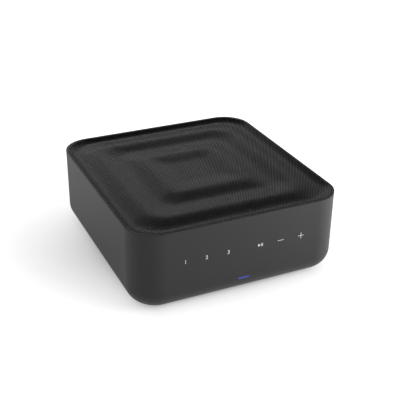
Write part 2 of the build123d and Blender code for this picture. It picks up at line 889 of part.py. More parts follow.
def video_outline(width, height, corner):
    """The socket's outline: square upper corners and slanting lower ones."""
    with BuildLine() as outline:
        Polyline(
            (-width / 2, height / 2),
            (width / 2, height / 2),
            (width / 2, -height / 2 + corner),
            (width / 2 - corner, -height / 2),
            (-width / 2 + corner, -height / 2),
            (-width / 2, -height / 2 + corner),
            close=True,
        )
    return outline.line


with BuildPart() as video_socket:
    with BuildSketch(from_back(video_end, video_place, video_rise)):
        make_face(
            video_outline(
                video_mouth[0] + 2 * video_shell, video_mouth[1] + 2 * video_shell, video_corner
            )
        )
    extrude(amount=-video_depth - socket_back)
    with BuildSketch(from_back(video_end, video_place, video_rise)):
        make_face(video_outline(*video_mouth, video_corner - video_shell / 2))
    extrude(amount=-video_depth, mode=Mode.SUBTRACT)
write(video_socket.part, "video_socket")

with BuildPart() as video_tongue_part:
    with BuildSketch(from_back(video_end - video_depth, video_place, video_rise + video_tongue[1] / 4)):
        Rectangle(*video_tongue)
    extrude(amount=video_depth - tongue_sink)
write(video_tongue_part.part, "video_tongue")

# Optical socket with a shutter that swings inwards
shutter_y = panel_y - shutter_sink
shutter_height = optical_mouth - 2 * shutter_gap
shutter_axis_z = optical_rise + shutter_height / 2 - shutter_sheet / 2
shutter_axis_plane = Plane(
    origin=(-optical_place, shutter_y - shutter_sheet / 2, shutter_axis_z),
    x_dir=(0, 1, 0),
    z_dir=(1, 0, 0),
)
with BuildPart() as optical_socket:
    with BuildSketch(from_back(panel_y, optical_place, optical_rise)):
        Rectangle(optical_size, optical_size)
    extrude(amount=-optical_length)
    with BuildSketch(from_back(panel_y, optical_place, optical_rise)):
        Rectangle(optical_mouth, optical_mouth)
    extrude(amount=-optical_throat, mode=Mode.SUBTRACT)
    with BuildSketch(shutter_axis_plane):
        Circle(shutter_pin_radius + running_gap)
    extrude(
        amount=optical_mouth / 2 + shutter_pin_length + running_gap, both=True, mode=Mode.SUBTRACT
    )
write(optical_socket.part, "optical_socket")

with BuildPart() as optical_shutter:
    with BuildSketch(from_back(shutter_y, optical_place, optical_rise)):
        Rectangle(shutter_height, shutter_height)
    extrude(amount=-shutter_sheet)
    fillet(
        optical_shutter.edges().filter_by(Axis.X).group_by(Axis.Z)[-1], 0.49 * shutter_sheet
    )
    with BuildSketch(shutter_axis_plane):
        Circle(shutter_pin_radius)
    extrude(amount=optical_mouth / 2 + shutter_pin_length, both=True)
write(optical_shutter.part, "optical_shutter")

# Phono sockets: housing, metal barrel and coloured core
with BuildPart() as phono_housings:
    with BuildSketch(from_back(panel_back, 0, phono_rise)):
        with Locations((line_in_middle, 0)):
            Rectangle(line_in_width, phono_block)
        with Locations((sub_out_place, 0)):
            Rectangle(phono_block, phono_block)
    extrude(amount=-phono_block_depth)
write(phono_housings.part, "phono_housings")

with BuildPart() as phono_barrels:
    with BuildSketch(from_back(panel_y - phono_core_sink, 0, phono_rise)):
        with Locations(*[(place, 0) for place in phono_places]):
            Circle(phono_radius)
            Circle(phono_radius - phono_wall, mode=Mode.SUBTRACT)
    extrude(amount=phono_reach + phono_core_sink)
write(phono_barrels.part, "phono_barrels")


def phono_core(place):
    """The coloured insulator: a ring in the panel hole and a core inside the barrel, with the pin's bore."""
    with BuildPart() as made:
        with BuildSketch(from_back(panel_back, place, phono_rise)):
            Circle(phono_ring_radius)
        extrude(amount=panel_sheet - phono_core_sink)
        with BuildSketch(from_back(panel_y - phono_core_sink, place, phono_rise)):
            Circle(phono_radius - phono_wall - running_gap)
        extrude(amount=phono_reach)
        with BuildSketch(from_back(panel_y - phono_core_sink + phono_reach, place, phono_rise)):
            Circle(phono_pin_radius)
        extrude(amount=-phono_pin_depth, mode=Mode.SUBTRACT)
    return made.part


write(phono_core(line_in_places[0]), "phono_core_left")
write(phono_core(line_in_places[1]), "phono_core_right")
write(phono_core(sub_out_place), "phono_core_sub")

# Small round sockets for the remote eye and the trigger
with BuildPart() as mini_sockets:
    with BuildSketch(from_back(panel_back, 0, mini_rise)):
        with Locations(*[(place, 0) for place in mini_places]):
            Rectangle(mini_block, mini_block)
    extrude(amount=-mini_block_depth)
    with BuildSketch(from_back(panel_back, 0, mini_rise)):
        with Locations(*[(place, 0) for place in mini_places]):
            Circle(mini_nose_radius)
    extrude(amount=panel_sheet + mini_reach)
    with BuildSketch(from_back(panel_y + mini_reach, 0, mini_rise)):
        with Locations(*[(place, 0) for place in mini_places]):
            Circle(mini_radius)
    extrude(amount=-mini_bore_depth, mode=Mode.SUBTRACT)
write(mini_sockets.part, "mini_sockets")

# Mains inlet
inlet_end = panel_y + inlet_proud
inlet_foot = inlet_rise - inlet_height / 2 - power_board_top
with BuildPart() as mains_inlet:
    with BuildSketch(from_back(inlet_end, inlet_place, inlet_rise)):
        RectangleRounded(inlet_width, inlet_height, inlet_corner)
    extrude(amount=-inlet_length)
    with BuildSketch(from_back(panel_back, inlet_place, power_board_top + inlet_foot / 2)):
        Rectangle(inlet_width - 2 * inlet_foot_inset, inlet_foot)
    extrude(amount=inlet_end - inlet_length - panel_back)
    with BuildSketch(from_back(inlet_end, inlet_place, inlet_rise)):
        with GridLocations(inlet_pin_pitch, 0, 2, 1):
            Circle(inlet_mouth_radius)
        Rectangle(inlet_pin_pitch, inlet_slot)
    extrude(amount=-inlet_depth, mode=Mode.SUBTRACT)
write(mains_inlet.part, "mains_inlet")

with BuildPart() as mains_pins:
    with BuildSketch(from_back(inlet_end - inlet_depth, inlet_place, inlet_rise)):
        with GridLocations(inlet_pin_pitch, 0, 2, 1):
            Circle(inlet_pin_radius)
    extrude(amount=inlet_depth - inlet_pin_stop)
    chamfer(mains_pins.faces().group_by(Axis.Y)[-1].edges(), inlet_pin_radius / 3)
write(mains_pins.part, "mains_pins")

# Push buttons with their switches under the network board
button_stop = panel_back - button_flange_depth - button_travel - switch_gap


def push_button(place):
    """A round button with a flange behind the panel that keeps it in its hole."""
    with BuildPart() as made:
        with BuildSketch(from_back(panel_y + button_proud, place, button_rise)):
            Circle(button_radius)
        extrude(amount=button_stop - panel_y - button_proud)
        chamfer(made.faces().sort_by(Axis.Y)[-1].edges(), button_radius / 6)
        with BuildSketch(from_back(panel_back, place, button_rise)):
            Circle(button_radius + button_flange)
        extrude(amount=-button_flange_depth)
    return made.part


write(push_button(setup_place), "setup_button")
write(push_button(pairing_place), "pairing_button")

with BuildPart() as button_switches:
    with BuildSketch(from_back(button_stop - button_travel - switch_gap, 0, button_rise)):
        with Locations(*[(place, 0) for place in (*button_places, reset_place)]):
            Rectangle(switch_width, switch_height)
    extrude(amount=-switch_depth)
write(button_switches.part, "button_switches")

# Front: touch board, pads, status light
touch_tab_low = light_place - touch_tab_below
with BuildPart() as touch_board:
    with BuildSketch(from_front(touch_front_y)):
        with Locations((0, (touch_low + touch_high) / 2)):
            RectangleRounded(touch_width, touch_high - touch_low, board_corner)
        with Locations((0, (touch_tab_low + touch_row) / 2)):
            RectangleRounded(touch_tab_width, touch_row - touch_tab_low, board_corner)
        with Locations(*touch_bosses):
            Circle(screw_hole, mode=Mode.SUBTRACT)
    extrude(amount=-board_sheet)
write(touch_board.part, "touch_board")

with BuildPart() as touch_pads:
    with BuildSketch(from_front(touch_front_y)):
        with Locations(*[(side * x, touch_row) for side in (-1, 1) for x in touch_places]):
            Circle(touch_pad_radius)
    extrude(amount=touch_gap)
write(touch_pads.part, "touch_pads")

with BuildPart() as status_light:
    with BuildSketch(from_front(touch_front_y - light_lamp, 0, light_place)):
        RectangleRounded(light_width, light_height, light_height / 3)
    extrude(amount=touch_gap + edge_radius)
    add(case_form.part, mode=Mode.INTERSECT)
write(status_light.part, "status_light")

with BuildPart() as status_lamp:
    with BuildSketch(from_front(touch_front_y, 0, light_place)):
        Rectangle(light_width / 2, light_height)
    extrude(amount=light_lamp)
write(status_lamp.part, "status_lamp")


def on_power_board(place, rise=0.0):
    """A level sketch plane above the power board, placed from the middle of the board."""
    return level(power_board_top + rise, place[0], power_mid + place[1])


def on_network_board(place):
    """A level sketch plane on the network board, placed from the middle of the board."""
    return level(network_board_top, place[0], network_mid + place[1])


# Heat sink on its amplifier chips
with BuildPart() as heat_sink:
    with BuildSketch(on_power_board(sink_place, chip_height)):
        Rectangle(sink_width, sink_depth)
    extrude(amount=sink_plate)
    with BuildSketch(on_power_board(sink_place, chip_height + sink_plate)):
        with GridLocations((sink_width - sink_fin) / (sink_fins - 1), 0, sink_fins, 1):
            Rectangle(sink_fin, sink_depth)
    extrude(amount=sink_height - sink_plate)
write(heat_sink.part, "heat_sink")

with BuildPart() as amplifier_chips:
    with BuildSketch(on_power_board(sink_place)):
        with GridLocations(2 * chip_size, 0, 2, 1):
            Rectangle(chip_size, chip_size)
    extrude(amount=chip_height)
write(amplifier_chips.part, "amplifier_chips")

# Power supply parts
core_depth = transformer_size - 2 * transformer_leg
with BuildPart() as transformer_core:
    with BuildSketch(on_power_board(transformer_place)):
        Rectangle(transformer_size, core_depth)
        Rectangle(transformer_size - 2 * transformer_leg, core_depth, mode=Mode.SUBTRACT)
    extrude(amount=transformer_height)
    with BuildSketch(on_power_board(transformer_place, transformer_height)):
        Rectangle(transformer_size, core_depth)
    extrude(amount=-transformer_cover)
write(transformer_core.part, "transformer_core")

with BuildPart() as transformer_winding:
    with BuildSketch(on_power_board(transformer_place)):
        RectangleRounded(
            transformer_size - 2 * (transformer_leg + winding_gap), transformer_size, board_corner
        )
    extrude(amount=transformer_height - transformer_cover - winding_gap)
write(transformer_winding.part, "transformer_winding")

with BuildPart() as reservoir_capacitors:
    with BuildSketch(on_power_board((0, 0))):
        with Locations(*reservoir_places):
            Circle(reservoir_radius)
    extrude(amount=reservoir_height)
    chamfer(reservoir_capacitors.faces().group_by(Axis.Z)[-1].edges(), reservoir_radius / 12)
write(reservoir_capacitors.part, "reservoir_capacitors")

with BuildPart() as output_coils:
    with BuildSketch(on_power_board((0, coil_row))):
        with Locations(*[(-place, 0) for place in terminal_places]):
            RectangleRounded(coil_size, coil_size, board_corner)
    extrude(amount=coil_height)
write(output_coils.part, "output_coils")

with BuildPart() as mains_filter:
    with BuildSketch(on_power_board(filter_place)):
        RectangleRounded(filter_size, filter_size, board_corner)
    extrude(amount=filter_height)
write(mains_filter.part, "mains_filter")

# Parts on the network board
with BuildPart() as processor_shield:
    with BuildSketch(on_network_board(shield_place)):
        Rectangle(shield_size, shield_size)
    extrude(amount=shield_height)
write(processor_shield.part, "processor_shield")

with BuildPart() as radio_module:
    with BuildSketch(on_network_board(radio_place)):
        Rectangle(*radio_size)
    extrude(amount=radio_height)
write(radio_module.part, "radio_module")

# Flat cable from the touch board to the network board, between its two connectors
plug_width, plug_depth_along, plug_height = plug_size
flex_rise = network_board_top + plug_height / 2
flex_front = touch_back_y + plug_depth_along
flex_back = case_mid + network_mid - network_board_depth / 2 + plug_inset
with BuildPart() as flex_plugs:
    with BuildSketch(from_back(touch_back_y, 0, flex_rise)):
        Rectangle(plug_width, plug_height)
    extrude(amount=plug_depth_along)
    with BuildSketch(from_back(flex_back, 0, flex_rise)):
        Rectangle(plug_width, plug_height)
    extrude(amount=plug_depth_along)
write(flex_plugs.part, "flex_plugs")

flex_run = flex_back - flex_front
flex_plane = Plane(origin=(flex_width / 2, flex_front, flex_rise), x_dir=(0, 1, 0), z_dir=(1, 0, 0))
with BuildPart() as flex_cable:
    with BuildSketch(flex_plane):
        with BuildLine():
            FilletPolyline(
                (0, 0),
                (flex_lead, 0),
                (flex_run / 3, -flex_sag),
                (2 * flex_run / 3, -flex_sag),
                (flex_run - flex_lead, 0),
                (flex_run, 0),
                radius=flex_bend,
            )
        trace(line_width=flex_sheet)
    extrude(amount=-flex_width)
write(flex_cable.part, "flex_cable")
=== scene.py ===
"""Looks of a streaming amplifier, built round its fixed CAD frame.

All lengths are in metres. X runs to the right as seen from the front, Y to the back and Z up.
"""

import json
import logging
import math
from dataclasses import dataclass, field
from enum import Enum

import bmesh
import bpy
from bmesh.types import BMesh
from bpy.types import ID, Material, Mesh, Node, NodeSocket, NodeTree, Object
from mathutils import Matrix, Vector

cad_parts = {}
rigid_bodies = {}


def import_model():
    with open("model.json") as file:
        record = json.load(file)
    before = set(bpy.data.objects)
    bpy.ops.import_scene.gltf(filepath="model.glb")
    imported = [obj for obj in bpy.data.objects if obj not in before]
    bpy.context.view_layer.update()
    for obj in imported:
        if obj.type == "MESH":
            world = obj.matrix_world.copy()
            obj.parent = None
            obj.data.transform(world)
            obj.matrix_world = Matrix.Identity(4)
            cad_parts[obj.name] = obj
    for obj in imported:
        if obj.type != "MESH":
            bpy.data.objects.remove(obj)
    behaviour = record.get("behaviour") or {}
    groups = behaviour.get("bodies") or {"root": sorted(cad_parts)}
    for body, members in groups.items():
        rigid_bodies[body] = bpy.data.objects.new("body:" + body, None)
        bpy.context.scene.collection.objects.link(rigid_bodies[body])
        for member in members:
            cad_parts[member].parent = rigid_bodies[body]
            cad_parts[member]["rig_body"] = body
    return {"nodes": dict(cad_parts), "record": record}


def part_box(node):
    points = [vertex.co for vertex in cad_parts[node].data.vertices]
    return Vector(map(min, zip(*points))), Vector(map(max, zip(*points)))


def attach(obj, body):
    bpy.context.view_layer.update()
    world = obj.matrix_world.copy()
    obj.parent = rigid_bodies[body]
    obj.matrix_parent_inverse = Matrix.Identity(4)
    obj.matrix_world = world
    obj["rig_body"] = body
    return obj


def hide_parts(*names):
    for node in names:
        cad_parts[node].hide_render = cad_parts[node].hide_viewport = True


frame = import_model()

LOG = logging.getLogger("amplifier")
MM = 0.001
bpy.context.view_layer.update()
# Points closer than these are one point: on a new skin, and on a copy of a CAD mesh
SKIN_WELD = 0.0005 * MM
COPY_WELD = 0.002 * MM
# Edges where faces meet at more than this angle stay sharp
SHARP_ANGLE = math.radians(35)
LEAST_RADIUS = 0.01 * MM
# Radius of the case's upright corners, which fits the photo better than the CAD's
CASE_CORNER = 29.5 * MM
# The rows of a six-sided pattern lie the first share of its pitch apart, and its pitch divided by
# the second is the radius of a cell
HEX_ROW = math.sqrt(3) / 2
HEX_CELL = math.sqrt(3)
# Inputs of a node that maps one range of values to another
RANGE = ("Value", "From Min", "From Max", "To Min", "To Max")
# Short signs for operations in formulas
SIGNS = {
    "+": "ADD",
    "-": "SUBTRACT",
    "*": "MULTIPLY",
    "/": "DIVIDE",
    "<": "LESS_THAN",
    ">": "GREATER_THAN",
}


def linear(hex_colour: str) -> tuple[float, float, float, float]:
    """Turns an sRGB hex colour into the linear values that the shaders work with.

    Args:
        hex_colour: Colour as "#rrggbb".

    Returns:
        Linear red, green, blue and an alpha of 1.
    """
    values = [int(hex_colour[i : i + 2], 16) / 255 for i in (1, 3, 5)]
    return (*(v / 12.92 if v <= 0.04045 else ((v + 0.055) / 1.055) ** 2.4 for v in values), 1.0)


def add_node(tree: NodeTree, kind: str, inputs: dict | None = None, **settings: object) -> Node:
    """Adds a node to a tree with its settings and links.

    Args:
        tree: Shader or geometry tree.
        kind: The node's type name.
        inputs: Values, sockets or nodes for its inputs, by socket name or number. A socket is
            linked, and so is a node's first output.
        settings: Properties of the node, by name.

    Returns:
        The new node.
    """
    node = tree.nodes.new(kind)
    for name, value in settings.items():
        setattr(node, name, value)
    for key, value in (inputs or {}).items():
        if isinstance(value, Node):
            value = value.outputs[0]
        if isinstance(value, NodeSocket):
            tree.links.new(value, node.inputs[key])
        else:
            node.inputs[key].default_value = value
    return node


def add_formula(tree: NodeTree, known: dict, formula: object) -> object:
    """Adds a formula to a tree, its inner steps first.

    Args:
        tree: Shader or geometry tree.
        known: Sockets and nodes by name.
        formula: A number, a name of something known, or an operation before the formulas it takes.

    Returns:
        The number, or the socket or node that gives the result.
    """
    if isinstance(formula, str):
        return known[formula]
    if not isinstance(formula, tuple):
        return formula
    operation, *parts = formula
    values = [add_formula(tree, known, part) for part in parts]
    operation = SIGNS.get(operation, operation)
    return add_node(tree, "ShaderNodeMath", dict(enumerate(values)), operation=operation)


def add_formulas(tree: NodeTree, known: dict, **formulas: tuple) -> None:
    """Adds formulas to a tree in their order, and makes each result known by its name."""
    for name, formula in formulas.items():
        known[name] = add_formula(tree, known, formula)


def start_tree(
    name: str, given: dict[str, tuple[str, ...]], result: tuple[str, str]
) -> tuple[NodeTree, dict]:
    """Starts a geometry tree.

    Args:
        name: Name of the tree.
        given: Names of its inputs, by their kind of socket.
        result: Name and kind of its output.

    Returns:
        The tree, and the sockets of its inputs by name.
    """
    tree = bpy.data.node_groups.new(name, "GeometryNodeTree")
    for kind, labels in given.items():
        for label in labels:
            tree.interface.new_socket(label, in_out="INPUT", socket_type=f"NodeSocket{kind}")
    tree.interface.new_socket(result[0], in_out="OUTPUT", socket_type=f"NodeSocket{result[1]}")
    return tree, {socket.name: socket for socket in add_node(tree, "NodeGroupInput").outputs}


def end_tree(tree: NodeTree, geometry: object, material: object) -> None:
    """Ends a geometry tree with real geometry in its material.

    Args:
        tree: The tree.
        geometry: Node or socket of the geometry.
        material: Socket of the material.
    """
    real = add_node(tree, "GeometryNodeRealizeInstances", {0: geometry})
    dressed = add_node(tree, "GeometryNodeSetMaterial", {"Geometry": real, "Material": material})
    add_node(tree, "NodeGroupOutput", {"Geometry": dressed})


def run_tree(tree: NodeTree, holder: Object, sizes: dict, name: str) -> Object:
    """Runs a geometry tree on an object.

    Args:
        tree: The tree.
        holder: The object. It is removed.
        sizes: Values of the tree's inputs, by name.
        name: Name of the result.

    Returns:
        The result as a plain mesh.
    """
    modifier = holder.modifiers.new(tree.name, "NODES")
    modifier.node_group = tree
    for item in tree.interface.items_tree:
        if item.in_out == "INPUT" and item.name in sizes:
            modifier[item.identifier] = sizes[item.name]
    return baked(holder, name)


def new_object(name: str, data: ID) -> Object:
    """Puts a mesh, light or camera into the scene as an object at the origin.

    Args:
        name: Name of the object and its data.
        data: The data. A mesh is already in place.

    Returns:
        The new object.
    """
    data.name = name
    made = bpy.data.objects.new(name, data)
    bpy.context.scene.collection.objects.link(made)
    return made


def baked(holder: Object, name: str) -> Object:
    """Applies the modifiers of an object by making a plain mesh of its result.

    Args:
        holder: Object with live modifiers. It is removed.
        name: Name of the plain object.

    Returns:
        The plain object.
    """
    bpy.context.view_layer.update()
    depsgraph = bpy.context.evaluated_depsgraph_get()
    mesh = bpy.data.meshes.new_from_object(holder.evaluated_get(depsgraph), depsgraph=depsgraph)
    bpy.data.objects.remove(holder)
    return new_object(name, mesh)


def shade(piece: Object) -> None:
    """Shades a piece smooth between its sharp edges."""
    piece.data.shade_smooth()
    piece.data.set_sharp_from_angle(angle=SHARP_ANGLE)


def weighted(piece: Object) -> Object:
    """Lets the large faces rule the normals, so that flat walls stay flat beside round corners.

    Args:
        piece: The piece. It is removed.

    Returns:
        A plain piece of the same name.
    """
    shade(piece)
    modifier = piece.modifiers.new("normals", "WEIGHTED_NORMAL")
    modifier.keep_sharp = True
    return baked(piece, piece.name)


def combine(target: Object, tool: Object, operation: str) -> Object:
    """Joins two closed meshes with a boolean operation.

    Args:
        target: Mesh that is changed.
        tool: Mesh that changes it. It is removed.
        operation: "UNION" or "DIFFERENCE".

    Returns:
        The combined object, under the target's name.
    """
    modifier = target.modifiers.new("combine", "BOOLEAN")
    modifier.operation = operation
    modifier.solver = "EXACT"
    modifier.object = tool
    made = baked(target, target.name)
    bpy.data.objects.remove(tool)
    return made


def dress(piece: Object, finish: "Finish") -> None:
    """Gives a piece the material of a finish, on all its faces."""
    piece.data.materials.clear()
    piece.data.materials.append(finish.material())


def deliver(piece: Object, body: str, slot: str, *nodes: str) -> None:
    """Hands a finished piece to the frame.

    Args:
        piece: The finished object.
        body: CAD body that it moves with.
        slot: The record's material slot of its finish. It is not used.
        nodes: CAD nodes that it stands for.
    """
    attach(piece, body)
    if nodes:
        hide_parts(*nodes)
    LOG.info("%s rides on %s, %d faces", piece.name, body, len(piece.data.polygons))


@dataclass(frozen=True)
class Outline:
    """A rounded rectangle on a level or an upright plane.

    Attributes:
        width: Size along X.
        depth: Size along the plane's other axis.
        radius: Radius of the corners.
        middle: Middle of the rectangle along the plane's other axis.
        steps: Segments in each corner.
    """

    width: float
    depth: float
    radius: float
    middle: float = 0.0
    steps: int = 24

    def ring(self, inset: float, height: float, radius: float | None = None) -> list[Vector]:
        """Points of the outline, drawn in by inset, on a level plane.

        Args:
            inset: How far the ring lies inside the outline.
            height: Z of the ring.
            radius: Corner radius of the ring, where it isn't the outline's less the inset.

        Returns:
            The points, counterclockwise as seen from above.
        """
        round_off = max(self.radius - inset, LEAST_RADIUS) if radius is None else radius
        across = self.width / 2 - inset - round_off
        along = self.depth / 2 - inset - round_off
        points = []
        for corner, (side, end) in enumerate(((1, 1), (-1, 1), (-1, -1), (1, -1))):
            for step in range(self.steps + 1):
                turn = (corner + step / self.steps) * math.pi / 2
                x = side * across + round_off * math.cos(turn)
                y = self.middle + end * along + round_off * math.sin(turn)
                points.append(Vector((x, y, height)))
        return points

    def scaled(self, share: float, height: float) -> list[Vector]:
        """The outline at a share of its size, corners included, on a level plane."""
        sizes = (self.width * share, self.depth * share, self.radius * share)
        return Outline(*sizes, self.middle, self.steps).ring(0.0, height)

    def moved_out(self, distance: float, radius: float) -> "Outline":
        """The outline with its sides moved out, and a corner radius of its own."""
        sizes = (self.width + 2 * distance, self.depth + 2 * distance, radius)
        return Outline(*sizes, self.middle, self.steps)


def band(form: BMesh, lower: list, upper: list) -> None:
    """Adds the faces between two closed rows of as many points.

    Args:
        form: The mesh in the making.
        lower: Points of the one row.
        upper: Points of the other.
    """
    for index in range(len(lower)):
        after = (index + 1) % len(lower)
        form.faces.new((lower[index], lower[after], upper[after], upper[index]))


def mesh_of(form: BMesh, name: str) -> Mesh:
    """Makes a mesh of a form, and frees the form.

    Args:
        form: The mesh in the making.
        name: Name of the mesh.

    Returns:
        The mesh.
    """
    mesh = bpy.data.meshes.new(name)
    form.to_mesh(mesh)
    form.free()
    return mesh


def skin(name: str, rings: list[list[Vector]], closed: bool) -> Object:
    """Lays a skin over rings of points, each joined to the next.

    Args:
        name: Name of the object.
        rings: Rings with the same number of points.
        closed: True where the last ring joins the first, False where both ends are capped.

    Returns:
        The object, with its faces pointing outwards.
    """
    form = bmesh.new()
    rows = [[form.verts.new(point) for point in ring] for ring in rings]
    if not closed:
        form.faces.new(list(reversed(rows[0])))
        form.faces.new(rows[-1])
    for lower, upper in zip(rows, rows[1:] + rows[:1] if closed else rows[1:]):
        band(form, lower, upper)
    bmesh.ops.remove_doubles(form, verts=form.verts, dist=SKIN_WELD)
    bmesh.ops.recalc_face_normals(form, faces=form.faces)
    return new_object(name, mesh_of(form, name))


def arc(
    middle: tuple[float, float], radius: float, start: float, end: float, steps: int
) -> list[tuple[float, float]]:
    """Points on an arc in a profile.

    Args:
        middle: Centre of the arc.
        radius: Its radius.
        start: First angle in degrees.
        end: Last angle in degrees.
        steps: Number of segments.

    Returns:
        The points, both ends included.
    """
    turns = [math.radians(start + (end - start) * step / steps) for step in range(steps + 1)]
    return [(middle[0] + radius * math.cos(t), middle[1] + radius * math.sin(t)) for t in turns]


class Pattern(Enum):
    """How a surface was made."""

    MOULDED = "moulded"
    BRUSHED = "brushed"
    PLATED = "plated"
    PRINTED = "printed"
    LIT = "lit"


@dataclass(frozen=True)
class Finish:
    """A material, named for what the real one is.

    Attributes:
        name: Common name of the material and its surface.
        colour: sRGB hex colour.
        roughness: Roughness of the surface, from 0 to 1.
        pattern: How the surface was made.
        metallic: 1 for a bare metal.
        ior: Index of refraction, left alone on a metal.
        grain: Size of the surface's grain.
        relief: Depth of the grain.
        mottle: How far the colour drifts over a few centimetres, as a share of its value.
        glow: sRGB hex colour of its own light, where it is lit.
        strength: Strength of that light.
        drift: Size of the colour's drift.
        brush: How far brushing draws the grain out, as a share of its frequency.
        grain_roughness: How much the finer grain counts beside the coarse.
        grain_range: The part of the grain's values that the roughness follows.
    """

    name: str
    colour: str
    roughness: float
    pattern: Pattern = Pattern.MOULDED
    metallic: float = 0.0
    ior: float = 1.5
    grain: float = 0.5 * MM
    relief: float = 0.01 * MM
    mottle: float = 0.06
    glow: str = ""
    strength: float = 0.0
    drift: float = 18 * MM
    brush: float = 0.06
    grain_roughness: float = 0.6
    grain_range: tuple[float, float] = (0.3, 0.7)

    @property
    def spread(self) -> float:
        """How far the roughness follows the grain."""
        return 0.06 if self.pattern in (Pattern.MOULDED, Pattern.BRUSHED) else 0.03

    def material(self) -> Material:
        """The material, built once and then shared.

        Returns:
            A node material with Object coordinates.
        """
        known = bpy.data.materials.get(self.name)
        if known:
            return known
        made = bpy.data.materials.new(self.name)
        made.use_nodes = True
        tree = made.node_tree
        shader = tree.nodes["Principled BSDF"]
        shader.inputs["Metallic"].default_value = self.metallic
        if not self.metallic:
            shader.inputs["IOR"].default_value = self.ior
        if self.glow:
            shader.inputs["Emission Color"].default_value = linear(self.glow)
            shader.inputs["Emission Strength"].default_value = self.strength
        place = add_node(tree, "ShaderNodeTexCoord").outputs["Object"]
        stretch = (self.brush if self.pattern is Pattern.BRUSHED else 1.0, 1.0, 1.0)
        laid = add_node(tree, "ShaderNodeMapping", {"Vector": place, "Scale": stretch})
        slow = {"Vector": place, "Scale": 1 / self.drift, "Detail": 2.0}
        drift = add_node(tree, "ShaderNodeTexNoise", slow)
        limits = (drift, 0.0, 1.0, 1 - self.mottle, 1 + self.mottle)
        value = add_node(tree, "ShaderNodeMapRange", dict(zip(RANGE, limits)))
        tint = {"Value": value, "Color": linear(self.colour)}
        fine = {"Vector": laid, "Scale": 1 / self.grain, "Detail": 3.0}
        fine["Roughness"] = self.grain_roughness
        grain = add_node(tree, "ShaderNodeTexNoise", fine)
        dull, shiny = self.roughness + self.spread, self.roughness - self.spread
        limits = (grain, *self.grain_range, shiny, dull)
        relief = {"Height": grain, "Distance": self.relief, "Strength": 1.0}
        looks = {
            "Base Color": add_node(tree, "ShaderNodeHueSaturation", tint),
            "Roughness": add_node(tree, "ShaderNodeMapRange", dict(zip(RANGE, limits))),
            "Normal": add_node(tree, "ShaderNodeBump", relief),
        }
        for socket, node in looks.items():
            tree.links.new(node.outputs[0], shader.inputs[socket])
        return made


# Screen-printed ink: flat white, a touch rough, with a faint light from the touch board behind it
SIGN_INK = Finish(
    "white sign ink",
    "#e9e9e9",
    0.6,
    Pattern.PRINTED,
    relief=0.0005 * MM,
    glow="#ffffff",
    strength=0.3,
)

